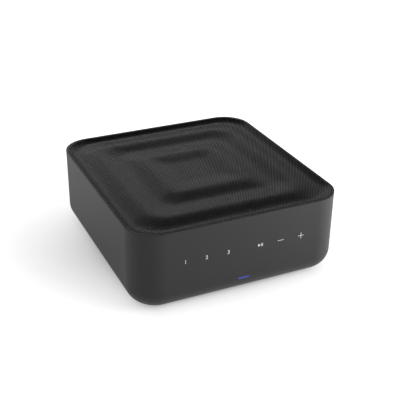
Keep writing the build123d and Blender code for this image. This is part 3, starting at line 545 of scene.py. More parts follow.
# Finishes by the record's material slots
FINISHES = {
    # ABS, moulded in a fine spark-eroded tool: an even satin grey, softly brighter to the light
    "case_plastic": Finish(
        "moulded charcoal ABS", "#353535", 0.42, grain=0.45 * MM, relief=0.006 * MM
    ),
    # Perforated steel under a thin black powder coat: darker than the case, with a tight sheen
    "grille_plastic": Finish(
        "powder coated steel mesh", "#202020", 0.34, grain=0.3 * MM, relief=0.004 * MM
    ),
    # Glass-filled ABS inside the case, never polished: dull and nearly black
    "inner_plastic": Finish("black inner ABS", "#151515", 0.6),
    # Zinc plated and blackened screws: dark metal with worn bright edges
    "screw_steel": Finish(
        "black zinc steel", "#5c5c60", 0.3, Pattern.PLATED, metallic=1.0, mottle=0.15
    ),
    # Mild steel under black powder coat: a slightly pebbled satin
    "sheet_steel": Finish(
        "powder coated sheet steel", "#181819", 0.5, grain=0.8 * MM, relief=0.02 * MM
    ),
    # Nitrile rubber: nearly no shine, a little dusty
    "foot_rubber": Finish("black rubber", "#1b1b1a", 0.85, relief=0.02 * MM, ior=1.52),
    # Polycarbonate with a coarser spark grain than the case: a duller black
    "panel_plastic": Finish(
        "spark grained polycarbonate", "#161617", 0.55, grain=0.7 * MM, relief=0.02 * MM, ior=1.58
    ),
    # Brass, gold plated over nickel: warm, bright and smooth
    "gilt_brass": Finish(
        "gold plated brass", "#e3b866", 0.2, Pattern.PLATED, metallic=1.0, mottle=0.04
    ),
    # Polycarbonate, coloured through and polished by its tool: a deep gloss
    "red_plastic": Finish("red polycarbonate", "#b01219", 0.3, ior=1.58, relief=0.003 * MM),
    "black_plastic": Finish("black polycarbonate", "#121212", 0.32, ior=1.58, relief=0.003 * MM),
    # Nylon, moulded round the sockets: milky and softly shining
    "white_plastic": Finish("white nylon", "#dedcd4", 0.45, ior=1.53, relief=0.004 * MM),
    "violet_plastic": Finish("violet nylon", "#4d2f86", 0.4, ior=1.53, relief=0.004 * MM),
    # ABS from a smooth tool: a shade lighter and shinier than the panel round the buttons
    "button_plastic": Finish("moulded button ABS", "#2c2c2d", 0.4, relief=0.004 * MM),
    # Glass-epoxy laminate under green solder mask: the weave just shows in the shine
    "circuit_board": Finish("green solder mask", "#12402a", 0.3, grain=2.0 * MM, relief=0.02 * MM),
    # Brass under nickel: cooler and paler than the gilt parts
    "plated_brass": Finish("nickel plated brass", "#c9c6bd", 0.25, Pattern.PLATED, metallic=1.0),
    # Nylon in the sockets' mouths: black with a soft edge light
    "socket_plastic": Finish("black socket nylon", "#141414", 0.45, ior=1.53),
    # Deep drawn steel shells with a thin nickel plate, brushed by the die: a streaked grey shine
    "socket_steel": Finish(
        "nickel plated steel", "#bdbdbb", 0.28, Pattern.BRUSHED, metallic=1.0, relief=0.003 * MM
    ),
    # Open foam behind the touch signs: no shine at all
    "foam_rubber": Finish("conductive foam", "#2a2a2a", 0.95, grain=0.6 * MM, relief=0.1 * MM),
    # Acrylic light guide, lit from behind by a blue lamp: an even blue bar
    "light_guide": Finish(
        "lit acrylic", "#1d2a66", 0.25, Pattern.LIT, ior=1.49, glow="#6474f0", strength=0.3
    ),
    # Aluminium as extruded: grey, with fine lines along its ribs
    "sink_aluminium": Finish(
        "extruded aluminium", "#9c9da0", 0.35, Pattern.BRUSHED, metallic=1.0, relief=0.005 * MM
    ),
    # Filled epoxy round the chips: a dull black
    "chip_plastic": Finish("moulded chip epoxy", "#1c1c1c", 0.6),
    # Pressed and fired ferrite: a stony dark grey
    "ferrite": Finish("sintered ferrite", "#2b2b2d", 0.5, grain=1.0 * MM, relief=0.02 * MM),
    # Polyester tape round the winding: glossy yellow
    "tape_plastic": Finish("yellow winding tape", "#c9981f", 0.3, relief=0.01 * MM),
    # Shrunk film round the capacitors: tight and glossy, a little blue
    "sleeve_plastic": Finish("black shrink sleeve", "#15151c", 0.25),
    # Polyester film of the flat cable: white and smooth
    "flex_film": Finish("white flat cable film", "#d7d5cb", 0.3),
}


def case_outline() -> Outline:
    """The case's outline from above, from the CAD cabinet, with its own corner radius."""
    low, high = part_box("cabinet")
    return Outline(high.x - low.x, high.y - low.y, CASE_CORNER, (high.y + low.y) / 2)


@dataclass
class Cabinet:
    """The moulded case: walls, rounded lower edge, lip, floor and the recess at the back."""

    wall: float = 3 * MM
    edge_radius: float = 19.5 * MM
    edge_steps: int = 16
    inner_steps: int = 12
    # Thinner than in the CAD frame by the shadow gap that shows round the grille
    lip: float = 0.5 * MM
    lip_round: float = 0.15 * MM
    lip_steps: int = 4
    seat_depth: float = 4 * MM
    base_inset: float = 3 * MM
    base_ledge: float = 4 * MM
    base_sheet: float = 1.5 * MM
    opening_radius: float = 12.5 * MM
    recess: Outline = Outline(168 * MM, 50.2 * MM, 7 * MM, 47.4 * MM, steps=10)
    recess_depth: float = 8 * MM
    recess_wall: float = 2.5 * MM
    # The recess frame starts inside the back wall, by this share of its thickness
    frame_start: float = 0.8
    panel_sheet: float = 2 * MM
    ledge_depth: float = 2.5 * MM
    ledge_width: float = 3.2 * MM
    mouth_chamfer: float = 0.5 * MM
    light_gap: float = 0.05 * MM
    # The window's height, as a multiple of its corner radius
    light_corner: float = 3.0
    # How far a cutter stands out of what it cuts
    spare: float = 1 * MM
    mouth_spare: float = 0.01 * MM

    def profile(self, bottom: float, top: float) -> list[tuple[float, float, float | None]]:
        """Section of the wall, from the base's rebate round the outside to the inside and back.

        Args:
            bottom: Z of the case's lower face.
            top: Z of the lip.

        Returns:
            Inset, height and corner radius of each ring. None takes the outline's own radius.
        """
        edge = self.edge_radius
        rebate = edge + self.base_inset
        opening = rebate + self.base_ledge
        seat = top - self.seat_depth
        outside = arc((edge, bottom + edge), edge, 270, 180, self.edge_steps)
        inside = arc((edge, bottom + edge), edge - self.wall, 180, 270, self.inner_steps)
        small = self.lip_round
        crown = arc((small, top - small), small, 180, 90, self.lip_steps)
        crown += arc((self.lip - small, top - small), small, 90, 0, self.lip_steps)
        rings = [(rebate, bottom, None)]
        rings += [(inset, z, None) for inset, z in outside + crown]
        rings += [(self.lip, seat, None), (self.wall, seat, None)]
        rings += [(inset, z, None) for inset, z in inside]
        rings.append((opening, bottom + self.wall, self.opening_radius))
        rings.append((opening, bottom + self.base_sheet, self.opening_radius))
        rings.append((rebate, bottom + self.base_sheet, None))
        return rings

    def upright_prism(
        self, name: str, outline: Outline, back: float, front: float, chamfer: float = 0.0
    ) -> Object:
        """A prism along Y with a rounded rectangle as its section.

        Args:
            name: Name of the object.
            outline: Section, with its depth and middle along Z.
            back: Y of the far end.
            front: Y of the near end.
            chamfer: How far the far end widens, over the same length.

        Returns:
            The prism, closed.
        """
        rings = []
        for y, inset in ((front, 0.0), (back - chamfer, 0.0), (back, -chamfer)):
            ring = outline.ring(inset, y)
            rings.append([Vector((p.x, p.z, p.y)) for p in ring])
        if not chamfer:
            rings.pop(1)
        return skin(name, rings, closed=False)

    def build(self) -> None:
        """Builds the case, with its recess, the way in behind the panel and the light's window."""
        low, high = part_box("cabinet")
        outline = case_outline()
        sections = self.profile(low.z, high.z)
        shell = skin("case", [outline.ring(*section) for section in sections], closed=True)
        recess = self.recess
        panel_back = high.y - self.recess_depth - self.panel_sheet
        ledge_end = panel_back - self.ledge_depth
        block = recess.moved_out(self.recess_wall, recess.radius + self.recess_wall)
        frame_back = high.y - self.frame_start * self.wall
        way = recess.moved_out(-self.ledge_width, recess.radius)
        light_low, light_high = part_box("status_light")
        height = light_high.z - light_low.z
        window = Outline(
            light_high.x - light_low.x + 2 * self.light_gap,
            height + 2 * self.light_gap,
            height / self.light_corner,
            (light_high.z + light_low.z) / 2,
            steps=6,
        )
        tools = (
            ("recess_frame", block, frame_back, ledge_end, 0.0),
            ("recess_mouth", recess, high.y + self.mouth_spare, panel_back, self.mouth_chamfer),
            ("way_in", way, panel_back + self.spare, ledge_end - self.spare, 0.0),
            ("window", window, low.y + 2 * self.wall, low.y - self.spare, 0.0),
        )
        for name, section, back, front, chamfer in tools:
            tool = self.upright_prism(name, section, back, front, chamfer)
            shell = combine(shell, tool, "UNION" if name == "recess_frame" else "DIFFERENCE")
        shell = weighted(shell)
        dress(shell, FINISHES["case_plastic"])
        deliver(shell, "root", "case_plastic", "cabinet")


@dataclass
class TopGrille:
    """The perforated top with its rounded square ripples, and the plain border round it."""

    lip: float = 0.5 * MM
    gap: float = 0.4 * MM
    border: float = 1.5 * MM
    border_round: float = 0.3 * MM
    border_steps: int = 5
    sink: float = 0.2 * MM
    sheet: float = 0.8 * MM
    crest_drop: float = 0.35 * MM
    trough_drop: float = 2.4 * MM
    middle_drop: float = 1.9 * MM
    shares: tuple[float, ...] = (0.90, 0.735, 0.55, 0.36)
    middle_share: float = 0.16
    # Holes in rows across the case, each row half a pitch further on. The stripes in the photo are
    # what its pixels make of this pattern, and they give its pitch
    pitch: float = 1.78 * MM
    hole_radius: float = 0.74 * MM
    rim: float = 0.4 * MM
    flange_share: float = 0.8
    overlap: float = 0.03 * MM
    weld: float = 0.02 * MM
    outline: Outline = field(init=False)
    top: float = field(init=False)
    seat: float = field(init=False)
    edge_share: float = field(init=False)
    turns: list[tuple[float, float]] = field(init=False)

    def __post_init__(self) -> None:
        """Works out the border and the turns of the ripples from the CAD frame."""
        self.outline = case_outline()
        self.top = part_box("cabinet")[1].z - self.sink
        self.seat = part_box("top_grille")[0].z
        rim_share = 1 - 2 * (self.lip + self.gap + self.border) / self.outline.width
        self.edge_share = 1 - 2 * (self.lip + self.gap + self.rim) / self.outline.width
        drops = (self.trough_drop, self.crest_drop) * 2
        self.turns = [(rim_share, 0.0), *zip(self.shares, drops)]
        self.turns.append((self.middle_share, self.middle_drop))

    def share_tree(self) -> NodeTree:
        """The node group for a point's share of the way from the middle to the outline.

        Returns:
            The node group.
        """
        sizes = {"Float": ("Width", "Depth", "Corner Radius", "Middle")}
        tree, known = start_tree("share of the way out", sizes, ("Share", "Float"))
        place = add_node(tree, "GeometryNodeInputPosition")
        known["X"], known["Y"], _ = add_node(tree, "ShaderNodeSeparateXYZ", {0: place}).outputs
        # Beside the flats the share is plain. In a corner it solves the circle that it scales
        add_formulas(
            tree,
            known,
            x=("ABSOLUTE", "X"),
            y=("ABSOLUTE", ("-", "Y", "Middle")),
            across=("*", "Width", 0.5),
            along=("*", "Depth", 0.5),
            flat=("MAXIMUM", ("/", "x", "across"), ("/", "y", "along")),
            core_x=("-", "across", "Corner Radius"),
            core_y=("-", "along", "Corner Radius"),
            square=("+", ("*", "x", "x"), ("*", "y", "y")),
            mixed=("+", ("*", "x", "core_x"), ("*", "y", "core_y")),
            core=("+", ("*", "core_x", "core_x"), ("*", "core_y", "core_y")),
            rest=("-", "core", ("*", "Corner Radius", "Corner Radius")),
            inner=("-", ("*", "mixed", "mixed"), ("*", "square", "rest")),
            round=("/", "square", ("+", "mixed", ("SQRT", ("MAXIMUM", "inner", 0.0)))),
            past_x=(">", "x", ("*", "round", "core_x")),
            past_y=(">", "y", ("*", "round", "core_y")),
            corner=("*", "past_x", "past_y"),
        )
        choice = {"Factor": known["corner"], "A": known["flat"], "B": known["round"]}
        add_node(tree, "NodeGroupOutput", {"Share": add_node(tree, "ShaderNodeMix", choice)})
        return tree

    def sheet_tree(self) -> NodeTree:
        """The node tree that lays out the holes, bends the sheet over its ripples and thickens it.

        Returns:
            The node tree, with its sizes as named inputs.
        """
        shape = ("Width", "Depth", "Corner Radius", "Middle")
        inputs = {
            "Float": (*shape, "Top", "Sheet", "Pitch", "Hole Radius", "Edge Share", "Spare Share"),
            "Int": ("Columns", "Rows", "First Column", "First Row"),
            "Material": ("Material",),
        }
        tree, known = start_tree("rippled perforated sheet", inputs, ("Geometry", "Geometry"))
        place = add_node(tree, "GeometryNodeInputPosition")
        known["X"], known["Y"], _ = add_node(tree, "ShaderNodeSeparateXYZ", {0: place}).outputs
        known["Index"] = add_node(tree, "GeometryNodeInputIndex")
        given = {name: known[name] for name in shape}
        known["Share"] = add_node(tree, "GeometryNodeGroup", given, node_tree=self.share_tree())

        # Middles of the cells, row by row, with every other row half a pitch further on
        add_formulas(
            tree,
            known,
            count=("*", "Columns", "Rows"),
            row=("+", ("FLOOR", ("/", "Index", "Columns")), "First Row"),
            column=("+", ("FLOORED_MODULO", "Index", "Columns"), "First Column"),
            stagger=("*", ("FLOORED_MODULO", "row", 2.0), 0.5),
            cell_x=("*", ("+", "column", "stagger"), "Pitch"),
            cell_y=("+", ("*", ("+", "row", 0.5), ("*", "Pitch", HEX_ROW)), "Middle"),
            wider=("/", ("/", "Pitch", HEX_CELL), "Hole Radius"),
            near=("<", "Share", "Spare Share"),
        )
        points = add_node(tree, "GeometryNodePoints", {"Count": known["count"]})
        spot = add_node(tree, "ShaderNodeCombineXYZ", {0: known["cell_x"], 1: known["cell_y"]})
        laid = add_node(tree, "GeometryNodeSetPosition", {"Geometry": points, "Position": spot})

        # One cell: a six-sided hole whose rim is drawn out to the six-sided cell round it
        corners = {"Vertices": 6, "Radius": known["Hole Radius"]}
        disc = add_node(tree, "GeometryNodeMeshCircle", corners, fill_type="NGON")
        turned = {"Geometry": disc, "Rotation": (0.0, 0.0, math.pi / 6)}
        hole = add_node(tree, "GeometryNodeTransform", turned)
        flat_rim = {"Mesh": hole, "Offset Scale": 0.0}
        drawn = add_node(tree, "GeometryNodeExtrudeMesh", flat_rim, mode="FACES")
        top = drawn.outputs["Top"]
        outer = add_node(tree, "FunctionNodeBooleanMath", {0: top}, operation="NOT")
        scale = {0: place, "Scale": known["wider"]}
        edge = add_node(tree, "ShaderNodeVectorMath", scale, operation="SCALE")
        widened = {"Geometry": drawn.outputs["Mesh"], "Selection": outer, "Position": edge}
        cell = add_node(tree, "GeometryNodeSetPosition", widened)
        lid = {"Geometry": cell, "Selection": top}
        holed = add_node(tree, "GeometryNodeDeleteGeometry", lid, domain="FACE")
        copies = {"Points": laid, "Selection": known["near"], "Instance": holed}
        cells = add_node(tree, "GeometryNodeInstanceOnPoints", copies)
        real = add_node(tree, "GeometryNodeRealizeInstances", {0: cells})
        weld = {"Geometry": real, "Distance": self.weld}
        grid = add_node(tree, "GeometryNodeMergeByDistance", weld)

        # The edge: faces past it go, and the points past it are drawn in to it
        add_formulas(
            tree,
            known,
            past=(">", "Share", "Edge Share"),
            shrink=("/", "Edge Share", "Share"),
            trim_x=("*", "X", "shrink"),
            trim_y=("+", ("*", ("-", "Y", "Middle"), "shrink"), "Middle"),
        )
        beyond = {"Geometry": grid, "Selection": known["past"]}
        kept = add_node(tree, "GeometryNodeDeleteGeometry", beyond, domain="FACE")
        trim = add_node(tree, "ShaderNodeCombineXYZ", {0: known["trim_x"], 1: known["trim_y"]})
        drawn_in = {"Geometry": kept, "Selection": known["past"], "Position": trim}
        flat = add_node(tree, "GeometryNodeSetPosition", drawn_in)

        # The ripples: a quarter sine down from the rim, then a smooth step from turn to turn
        (start, _), (end, depth) = self.turns[:2]
        limits = (known["Share"], start, end, 0.0, math.pi / 2)
        known["angle"] = add_node(tree, "ShaderNodeMapRange", dict(zip(RANGE, limits)))
        add_formulas(tree, known, drop=("*", ("SINE", "angle"), depth))
        for (start, above), (end, below) in zip(self.turns[1:], self.turns[2:]):
            limits = dict(zip(RANGE, (known["Share"], start, end, 0.0, below - above)))
            smooth = {"interpolation_type": "SMOOTHSTEP"}
            known["step"] = add_node(tree, "ShaderNodeMapRange", limits, **smooth)
            add_formulas(tree, known, drop=("+", "drop", "step"))
        add_formulas(tree, known, lower=("-", ("-", "Top", "drop"), "Sheet"))
        rise = add_node(tree, "ShaderNodeCombineXYZ", {2: known["lower"]})
        bent = add_node(tree, "GeometryNodeSetPosition", {"Geometry": flat, "Offset": rise})

        # Thickness: the sheet is drawn up, and its lower face is turned over and joined on
        upright = add_node(tree, "ShaderNodeCombineXYZ", {2: 1.0})
        up = {"Mesh": bent, "Offset": upright, "Offset Scale": known["Sheet"], "Individual": False}
        thick = add_node(tree, "GeometryNodeExtrudeMesh", up, mode="FACES")
        turned = add_node(tree, "GeometryNodeFlipFaces", {"Mesh": bent})
        both = add_node(tree, "GeometryNodeJoinGeometry", {0: thick})
        tree.links.new(turned.outputs[0], both.inputs[0])
        weld = {"Geometry": both, "Distance": self.weld}
        closed = add_node(tree, "GeometryNodeMergeByDistance", weld)
        known["between faces"] = add_node(tree, "GeometryNodeInputMeshEdgeAngle")
        add_formulas(tree, known, gentle=("<", "between faces", SHARP_ANGLE))
        soft = {"Geometry": closed, "Shade Smooth": known["gentle"]}
        rounded = add_node(tree, "GeometryNodeSetShadeSmooth", soft, domain="EDGE")
        end_tree(tree, rounded, known["Material"])
        return tree

    def perforated(self, tree: NodeTree, name: str, column: int, row: int) -> Object:
        """One quarter of the perforated sheet.

        Args:
            tree: The sheet's node tree.
            name: Name of the quarter.
            column: 0 for a quarter on the right, -1 for one on the left.
            row: 0 for a quarter at the back, -1 for one at the front.

        Returns:
            The quarter as a plain mesh.
        """
        columns = math.ceil(self.outline.width / 2 / self.pitch) + 1
        rows = math.ceil(self.outline.depth / 2 / (self.pitch * HEX_ROW)) + 1
        sizes = {
            "Width": self.outline.width,
            "Depth": self.outline.depth,
            "Corner Radius": self.outline.radius,
            "Middle": self.outline.middle,
            "Top": self.top,
            "Sheet": self.sheet,
            "Pitch": self.pitch,
            "Hole Radius": self.hole_radius,
            "Edge Share": self.edge_share,
            "Spare Share": self.edge_share + 2 * self.pitch / self.outline.width,
            "Columns": columns,
            "Rows": rows,
            "First Column": column * columns,
            "First Row": row * rows,
            "Material": FINISHES["grille_plastic"].material(),
        }
        return run_tree(tree, new_object(name, bpy.data.meshes.new(name)), sizes, name)

    def border_ring(self) -> Object:
        """The plain border with its turned-down flange, which laps the edge of the sheet.

        Returns:
            The border as a closed ring.
        """
        outline = self.outline
        outer = self.lip + self.gap
        small = self.border_round
        over = self.top + self.overlap
        under = self.top - self.sheet - self.overlap
        rings = [outline.ring(outer, self.seat)]
        for inset, z in arc((outer + small, over - small), small, 180, 90, self.border_steps):
            rings.append(outline.ring(inset, z))
        lapped = self.edge_share - 2 * self.overlap / outline.width
        flange = outer + self.rim * self.flange_share
        rings += [outline.scaled(lapped, over), outline.scaled(lapped, under)]
        rings += [outline.ring(flange, under), outline.ring(flange, self.seat)]
        return skin("grille_border", rings, closed=True)

    def build(self) -> None:
        """Builds the four quarters of the sheet and the border."""
        tree = self.sheet_tree()
        for row, end in ((-1, "front"), (0, "back")):
            for column, side in ((-1, "left"), (0, "right")):
                quarter = self.perforated(tree, f"grille_sheet_{end}_{side}", column, row)
                deliver(quarter, "root", "grille_plastic", "top_grille")
        ring = weighted(self.border_ring())
        dress(ring, FINISHES["grille_plastic"])
        deliver(ring, "root", "grille_plastic", "top_grille")


class Sign(Enum):
    """What the touch signs on the front show."""

    ONE = "1"
    TWO = "2"
    THREE = "3"
    PLAY = "play"
    LESS = "less"
    MORE = "more"


@dataclass
class TouchSigns:
    """The white signs printed on the front wall."""

    row: float = 51.9 * MM
    near: float = 17 * MM
    pitch: float = 21.75 * MM
    # Height of a digit, and what share of the letter's size that is
    height: float = 4 * MM
    digit_share: float = 0.7
    weight: float = 0.03 * MM
    stroke: float = 0.5 * MM
    stroke_steps: int = 6
    ink: float = 0.03 * MM
    bar: float = 6.6 * MM
    play_height: float = 3.2 * MM
    play_ends: tuple[float, float] = (-3 * MM, -0.5 * MM)
    pause_lefts: tuple[float, float] = (0.1 * MM, 1.3 * MM)
    pause_width: float = 0.65 * MM
    # These two stand a little to the left of the even row
    nudged: tuple[Sign, ...] = (Sign.TWO, Sign.LESS)
    nudge: float = 0.5 * MM

    def digit(self, sign: Sign) -> Mesh:
        """A digit's shape, from the built-in letters.

        Args:
            sign: Which digit.

        Returns:
            A mesh with the ink's thickness.
        """
        text = bpy.data.curves.new(sign.name, "FONT")
        text.body = sign.value
        text.size = self.height / self.digit_share
        text.align_x = "CENTER"
        text.align_y = "CENTER"
        text.extrude = self.ink / 2
        text.offset = self.weight
        made = baked(new_object(sign.name, text), sign.name)
        mesh = made.data
        bpy.data.objects.remove(made)
        return mesh

    def flat(self, sign: Sign) -> Mesh:
        """The sign's shape, upright round the origin in the X and Y plane, facing +Z.

        Args:
            sign: Which sign.

        Returns:
            A mesh with the ink's thickness.
        """
        if sign.value in "123":
            return self.digit(sign)
        form = bmesh.new()
        if sign is Sign.PLAY:
            half = self.play_height / 2
            back, tip = self.play_ends
            self.plate(form, [(back, -half), (tip, 0.0), (back, half)])
            for left in self.pause_lefts:
                right = left + self.pause_width
                self.plate(form, [(left, -half), (right, -half), (right, half), (left, half)])
        else:
            self.stick(form, 0.0)
        if sign is Sign.MORE:
            self.stick(form, math.pi / 2)
        return mesh_of(form, sign.name)

    def plate(self, form: BMesh, points: list[tuple[float, float]]) -> None:
        """Adds a flat plate with the ink's thickness to a form.

        Args:
            form: The mesh in the making.
            points: Corners of the plate, counterclockwise.
        """
        lower = [form.verts.new((x, y, -self.ink / 2)) for x, y in points]
        upper = [form.verts.new((x, y, self.ink / 2)) for x, y in points]
        form.faces.new(list(reversed(lower)))
        form.faces.new(upper)
        band(form, lower, upper)

    def stick(self, form: BMesh, turn: float) -> None:
        """Adds a bar with round ends to a form.

        Args:
            form: The mesh in the making.
            turn: Its angle from level, in radians.
        """
        half = self.stroke / 2
        reach = self.bar / 2 - half
        points = arc((reach, 0.0), half, -90, 90, self.stroke_steps)
        points += arc((-reach, 0.0), half, 90, 270, self.stroke_steps)
        swing = Matrix.Rotation(turn, 2)
        self.plate(form, [tuple(swing @ Vector(point)) for point in points])

    def build(self) -> None:
        """Builds the six signs and prints them on the front wall."""
        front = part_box("cabinet")[0].y
        places = [side * (self.near + step * self.pitch) for side in (-1, 1) for step in range(3)]
        upright = Matrix.Rotation(math.pi / 2, 4, "X")
        for sign, x in zip(Sign, sorted(places)):
            mesh = self.flat(sign)
            if sign in self.nudged:
                x -= self.nudge
            mesh.transform(Matrix.Translation((x, front, self.row)) @ upright)
            piece = new_object(f"touch_sign_{sign.name.lower()}", mesh)
            dress(piece, SIGN_INK)
            deliver(piece, "root", "white_plastic")


@dataclass
class Screws:
    """Screws with a domed head and a cross recess, in place of the plain ones of the CAD."""

    radius: float = 2.7 * MM
    height: float = 1.8 * MM
    dome: float = 1.1 * MM
    dome_steps: int = 6
    turn_steps: int = 9
    shank: float = 1.25 * MM
    length: float = 7 * MM
    tip: float = 0.4 * MM
    # Length and width of the cross's arms, at its mouth and at its foot
    cross: tuple[float, float] = (3.4 * MM, 0.8 * MM)
    cross_foot: tuple[float, float] = (2.2 * MM, 0.5 * MM)
    cross_depth: float = 1.2 * MM
    cross_round: float = 0.1 * MM
    seed: int = 7

    def screw(self) -> Object:
        """One screw at the origin, its head on the level plane and facing up.

        Returns:
            The screw as a closed mesh.
        """
        round_bar = Outline(2 * self.radius, 2 * self.radius, self.radius, steps=self.turn_steps)
        profile = [
            (self.tip, -self.length),
            (self.shank, self.shank - self.length),
            (self.shank, 0.0),
            (self.radius, 0.0),
        ]
        rim = (self.radius - self.dome, self.height - self.dome)
        profile += arc(rim, self.dome, 0, 90, self.dome_steps)
        rings = [round_bar.ring(self.radius - reach, z) for reach, z in profile]
        made = skin("screw", rings, closed=False)
        foot_z, mouth_z = self.height - self.cross_depth, self.height + self.cross_round
        for order in (1, -1):
            rings = [
                Outline(*arms[::order], self.cross_round, steps=2).ring(0.0, z)
                for arms, z in ((self.cross_foot, foot_z), (self.cross, mouth_z))
            ]
            made = combine(made, skin("cross", rings, closed=False), "DIFFERENCE")
        return made

    def corners_tree(self) -> NodeTree:
        """The node tree that sets the screw at four corners, each driven home at its own angle.

        Returns:
            The node tree, with its sizes as named inputs.
        """
        inputs = {
            "Geometry": ("Geometry",),
            "Float": ("Across", "Along", "Turn", "X", "Y", "Z"),
            "Int": ("Seed",),
            "Material": ("Material",),
        }
        tree, known = start_tree("four screws", inputs, ("Geometry", "Geometry"))
        corners = {"Size X": known["Across"], "Size Y": known["Along"]}
        corners |= {"Vertices X": 2, "Vertices Y": 2}
        grid = add_node(tree, "GeometryNodeMeshGrid", corners)
        chance = {"Max": math.pi / 2, "Seed": known["Seed"]}
        angle = add_node(tree, "FunctionNodeRandomValue", chance, data_type="FLOAT").outputs[1]
        driven = add_node(tree, "ShaderNodeCombineXYZ", {2: angle})
        copies = {"Points": grid, "Instance": known["Geometry"], "Rotation": driven}
        set_out = add_node(tree, "GeometryNodeInstanceOnPoints", copies)
        turn = add_node(tree, "ShaderNodeCombineXYZ", {0: known["Turn"]})
        place = add_node(
            tree, "ShaderNodeCombineXYZ", {0: known["X"], 1: known["Y"], 2: known["Z"]}
        )
        move = {"Geometry": set_out, "Translation": place, "Rotation": turn}
        end_tree(tree, add_node(tree, "GeometryNodeTransform", move), known["Material"])
        return tree

    def four(self, tree: NodeTree, node: str, behind: bool) -> None:
        """Sets out the four screws of a CAD node.

        Args:
            tree: The node tree.
            node: The CAD node.
            behind: True where the heads face the back, False where they face down.
        """
        low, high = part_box(node)
        middle = (low + high) / 2
        along = (high.z - low.z) if behind else (high.y - low.y)
        sizes = {
            "Across": high.x - low.x - 2 * self.radius,
            "Along": along - 2 * self.radius,
            "Turn": -math.pi / 2 if behind else math.pi,
            "X": middle.x,
            "Y": high.y - self.height if behind else middle.y,
            "Z": middle.z if behind else low.z + self.height,
            "Seed": self.seed,
            "Material": FINISHES["screw_steel"].material(),
        }
        made = run_tree(tree, self.screw(), sizes, f"{node}_crossed")
        shade(made)
        deliver(made, "root", "screw_steel", node)

    def build(self) -> None:
        """Builds the screws of the back and of the base."""
        tree = self.corners_tree()
        self.four(tree, "panel_screws", behind=True)
        self.four(tree, "base_screws", behind=False)


@dataclass
class CadFinishes:
    """The CAD nodes that keep their shape, and those that are shown by a smoothed copy."""

    bevel: float = 0.15 * MM
    bevel_steps: int = 2
    bevel_angle: float = 40.0
    flat_angle: float = 0.5
    # What the names of the nodes that show start with
    smoothed: tuple[str, ...] = (
        "rear_panel",
        "base_plate",
        "rubber_feet",
        "terminal_studs",
        "plus_collars",
        "minus_collars",
        "network_socket",
        "media_socket",
        "video_socket",
        "optical_socket",
        "phono_barrels",
        "phono_core_",
        "mini_sockets",
        "mains_inlet",
        "mains_pins",
        "setup_button",
        "pairing_button",
        "terminal_c",
    )

    def smooth_copy(self, name: str) -> Object:
        """A copy of a CAD node with its doubles merged, its edges eased and its faces smooth.

        Args:
            name: The node.

        Returns:
            The copy, under the node's name and "_finished".
        """
        form = bmesh.new()
        form.from_mesh(frame["nodes"][name].data)
        bmesh.ops.remove_doubles(form, verts=form.verts, dist=COPY_WELD)
        flat = math.radians(self.flat_angle)
        bmesh.ops.dissolve_limit(form, angle_limit=flat, verts=form.verts, edges=form.edges)
        copy = new_object(f"{name}_finished", mesh_of(form, name))
        eased = copy.modifiers.new("ease", "BEVEL")
        eased.width = self.bevel
        eased.segments = self.bevel_steps
        eased.limit_method = "ANGLE"
        eased.angle_limit = math.radians(self.bevel_angle)
        eased.use_clamp_overlap = True
        return weighted(baked(copy, copy.name))

    def build(self) -> None:
        """Dresses every CAD node, and puts smoothed copies in place of those that show."""
        slots = {part["node"]: part["material_slot"] for part in frame["record"]["subparts"]}
        for name, node in frame["nodes"].items():
            finish = FINISHES[slots[name]]
            if name.startswith(self.smoothed):
                copy = self.smooth_copy(name)
                dress(copy, finish)
                deliver(copy, node["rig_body"], slots[name], name)
            dress(node, finish)


@dataclass(frozen=True)
class Lamp:
    """A square soft light that points at the case.

    Attributes:
        name: Name of the light.
        place: Where it stands.
        size: Length of its side.
        power: Its power in watts.
    """

    name: str
    place: tuple[float, float, float]
    size: float
    power: float

    def build(self, aim: Vector) -> None:
        """Hangs the light.

        Args:
            aim: Point that it faces.
        """
        data = bpy.data.lights.new(self.name, "AREA")
        data.shape = "SQUARE"
        data.size = self.size
        data.energy = self.power
        made = new_object(self.name, data)
        made.location = self.place
        made.rotation_euler = (aim - Vector(self.place)).to_track_quat("-Z", "Y").to_euler()


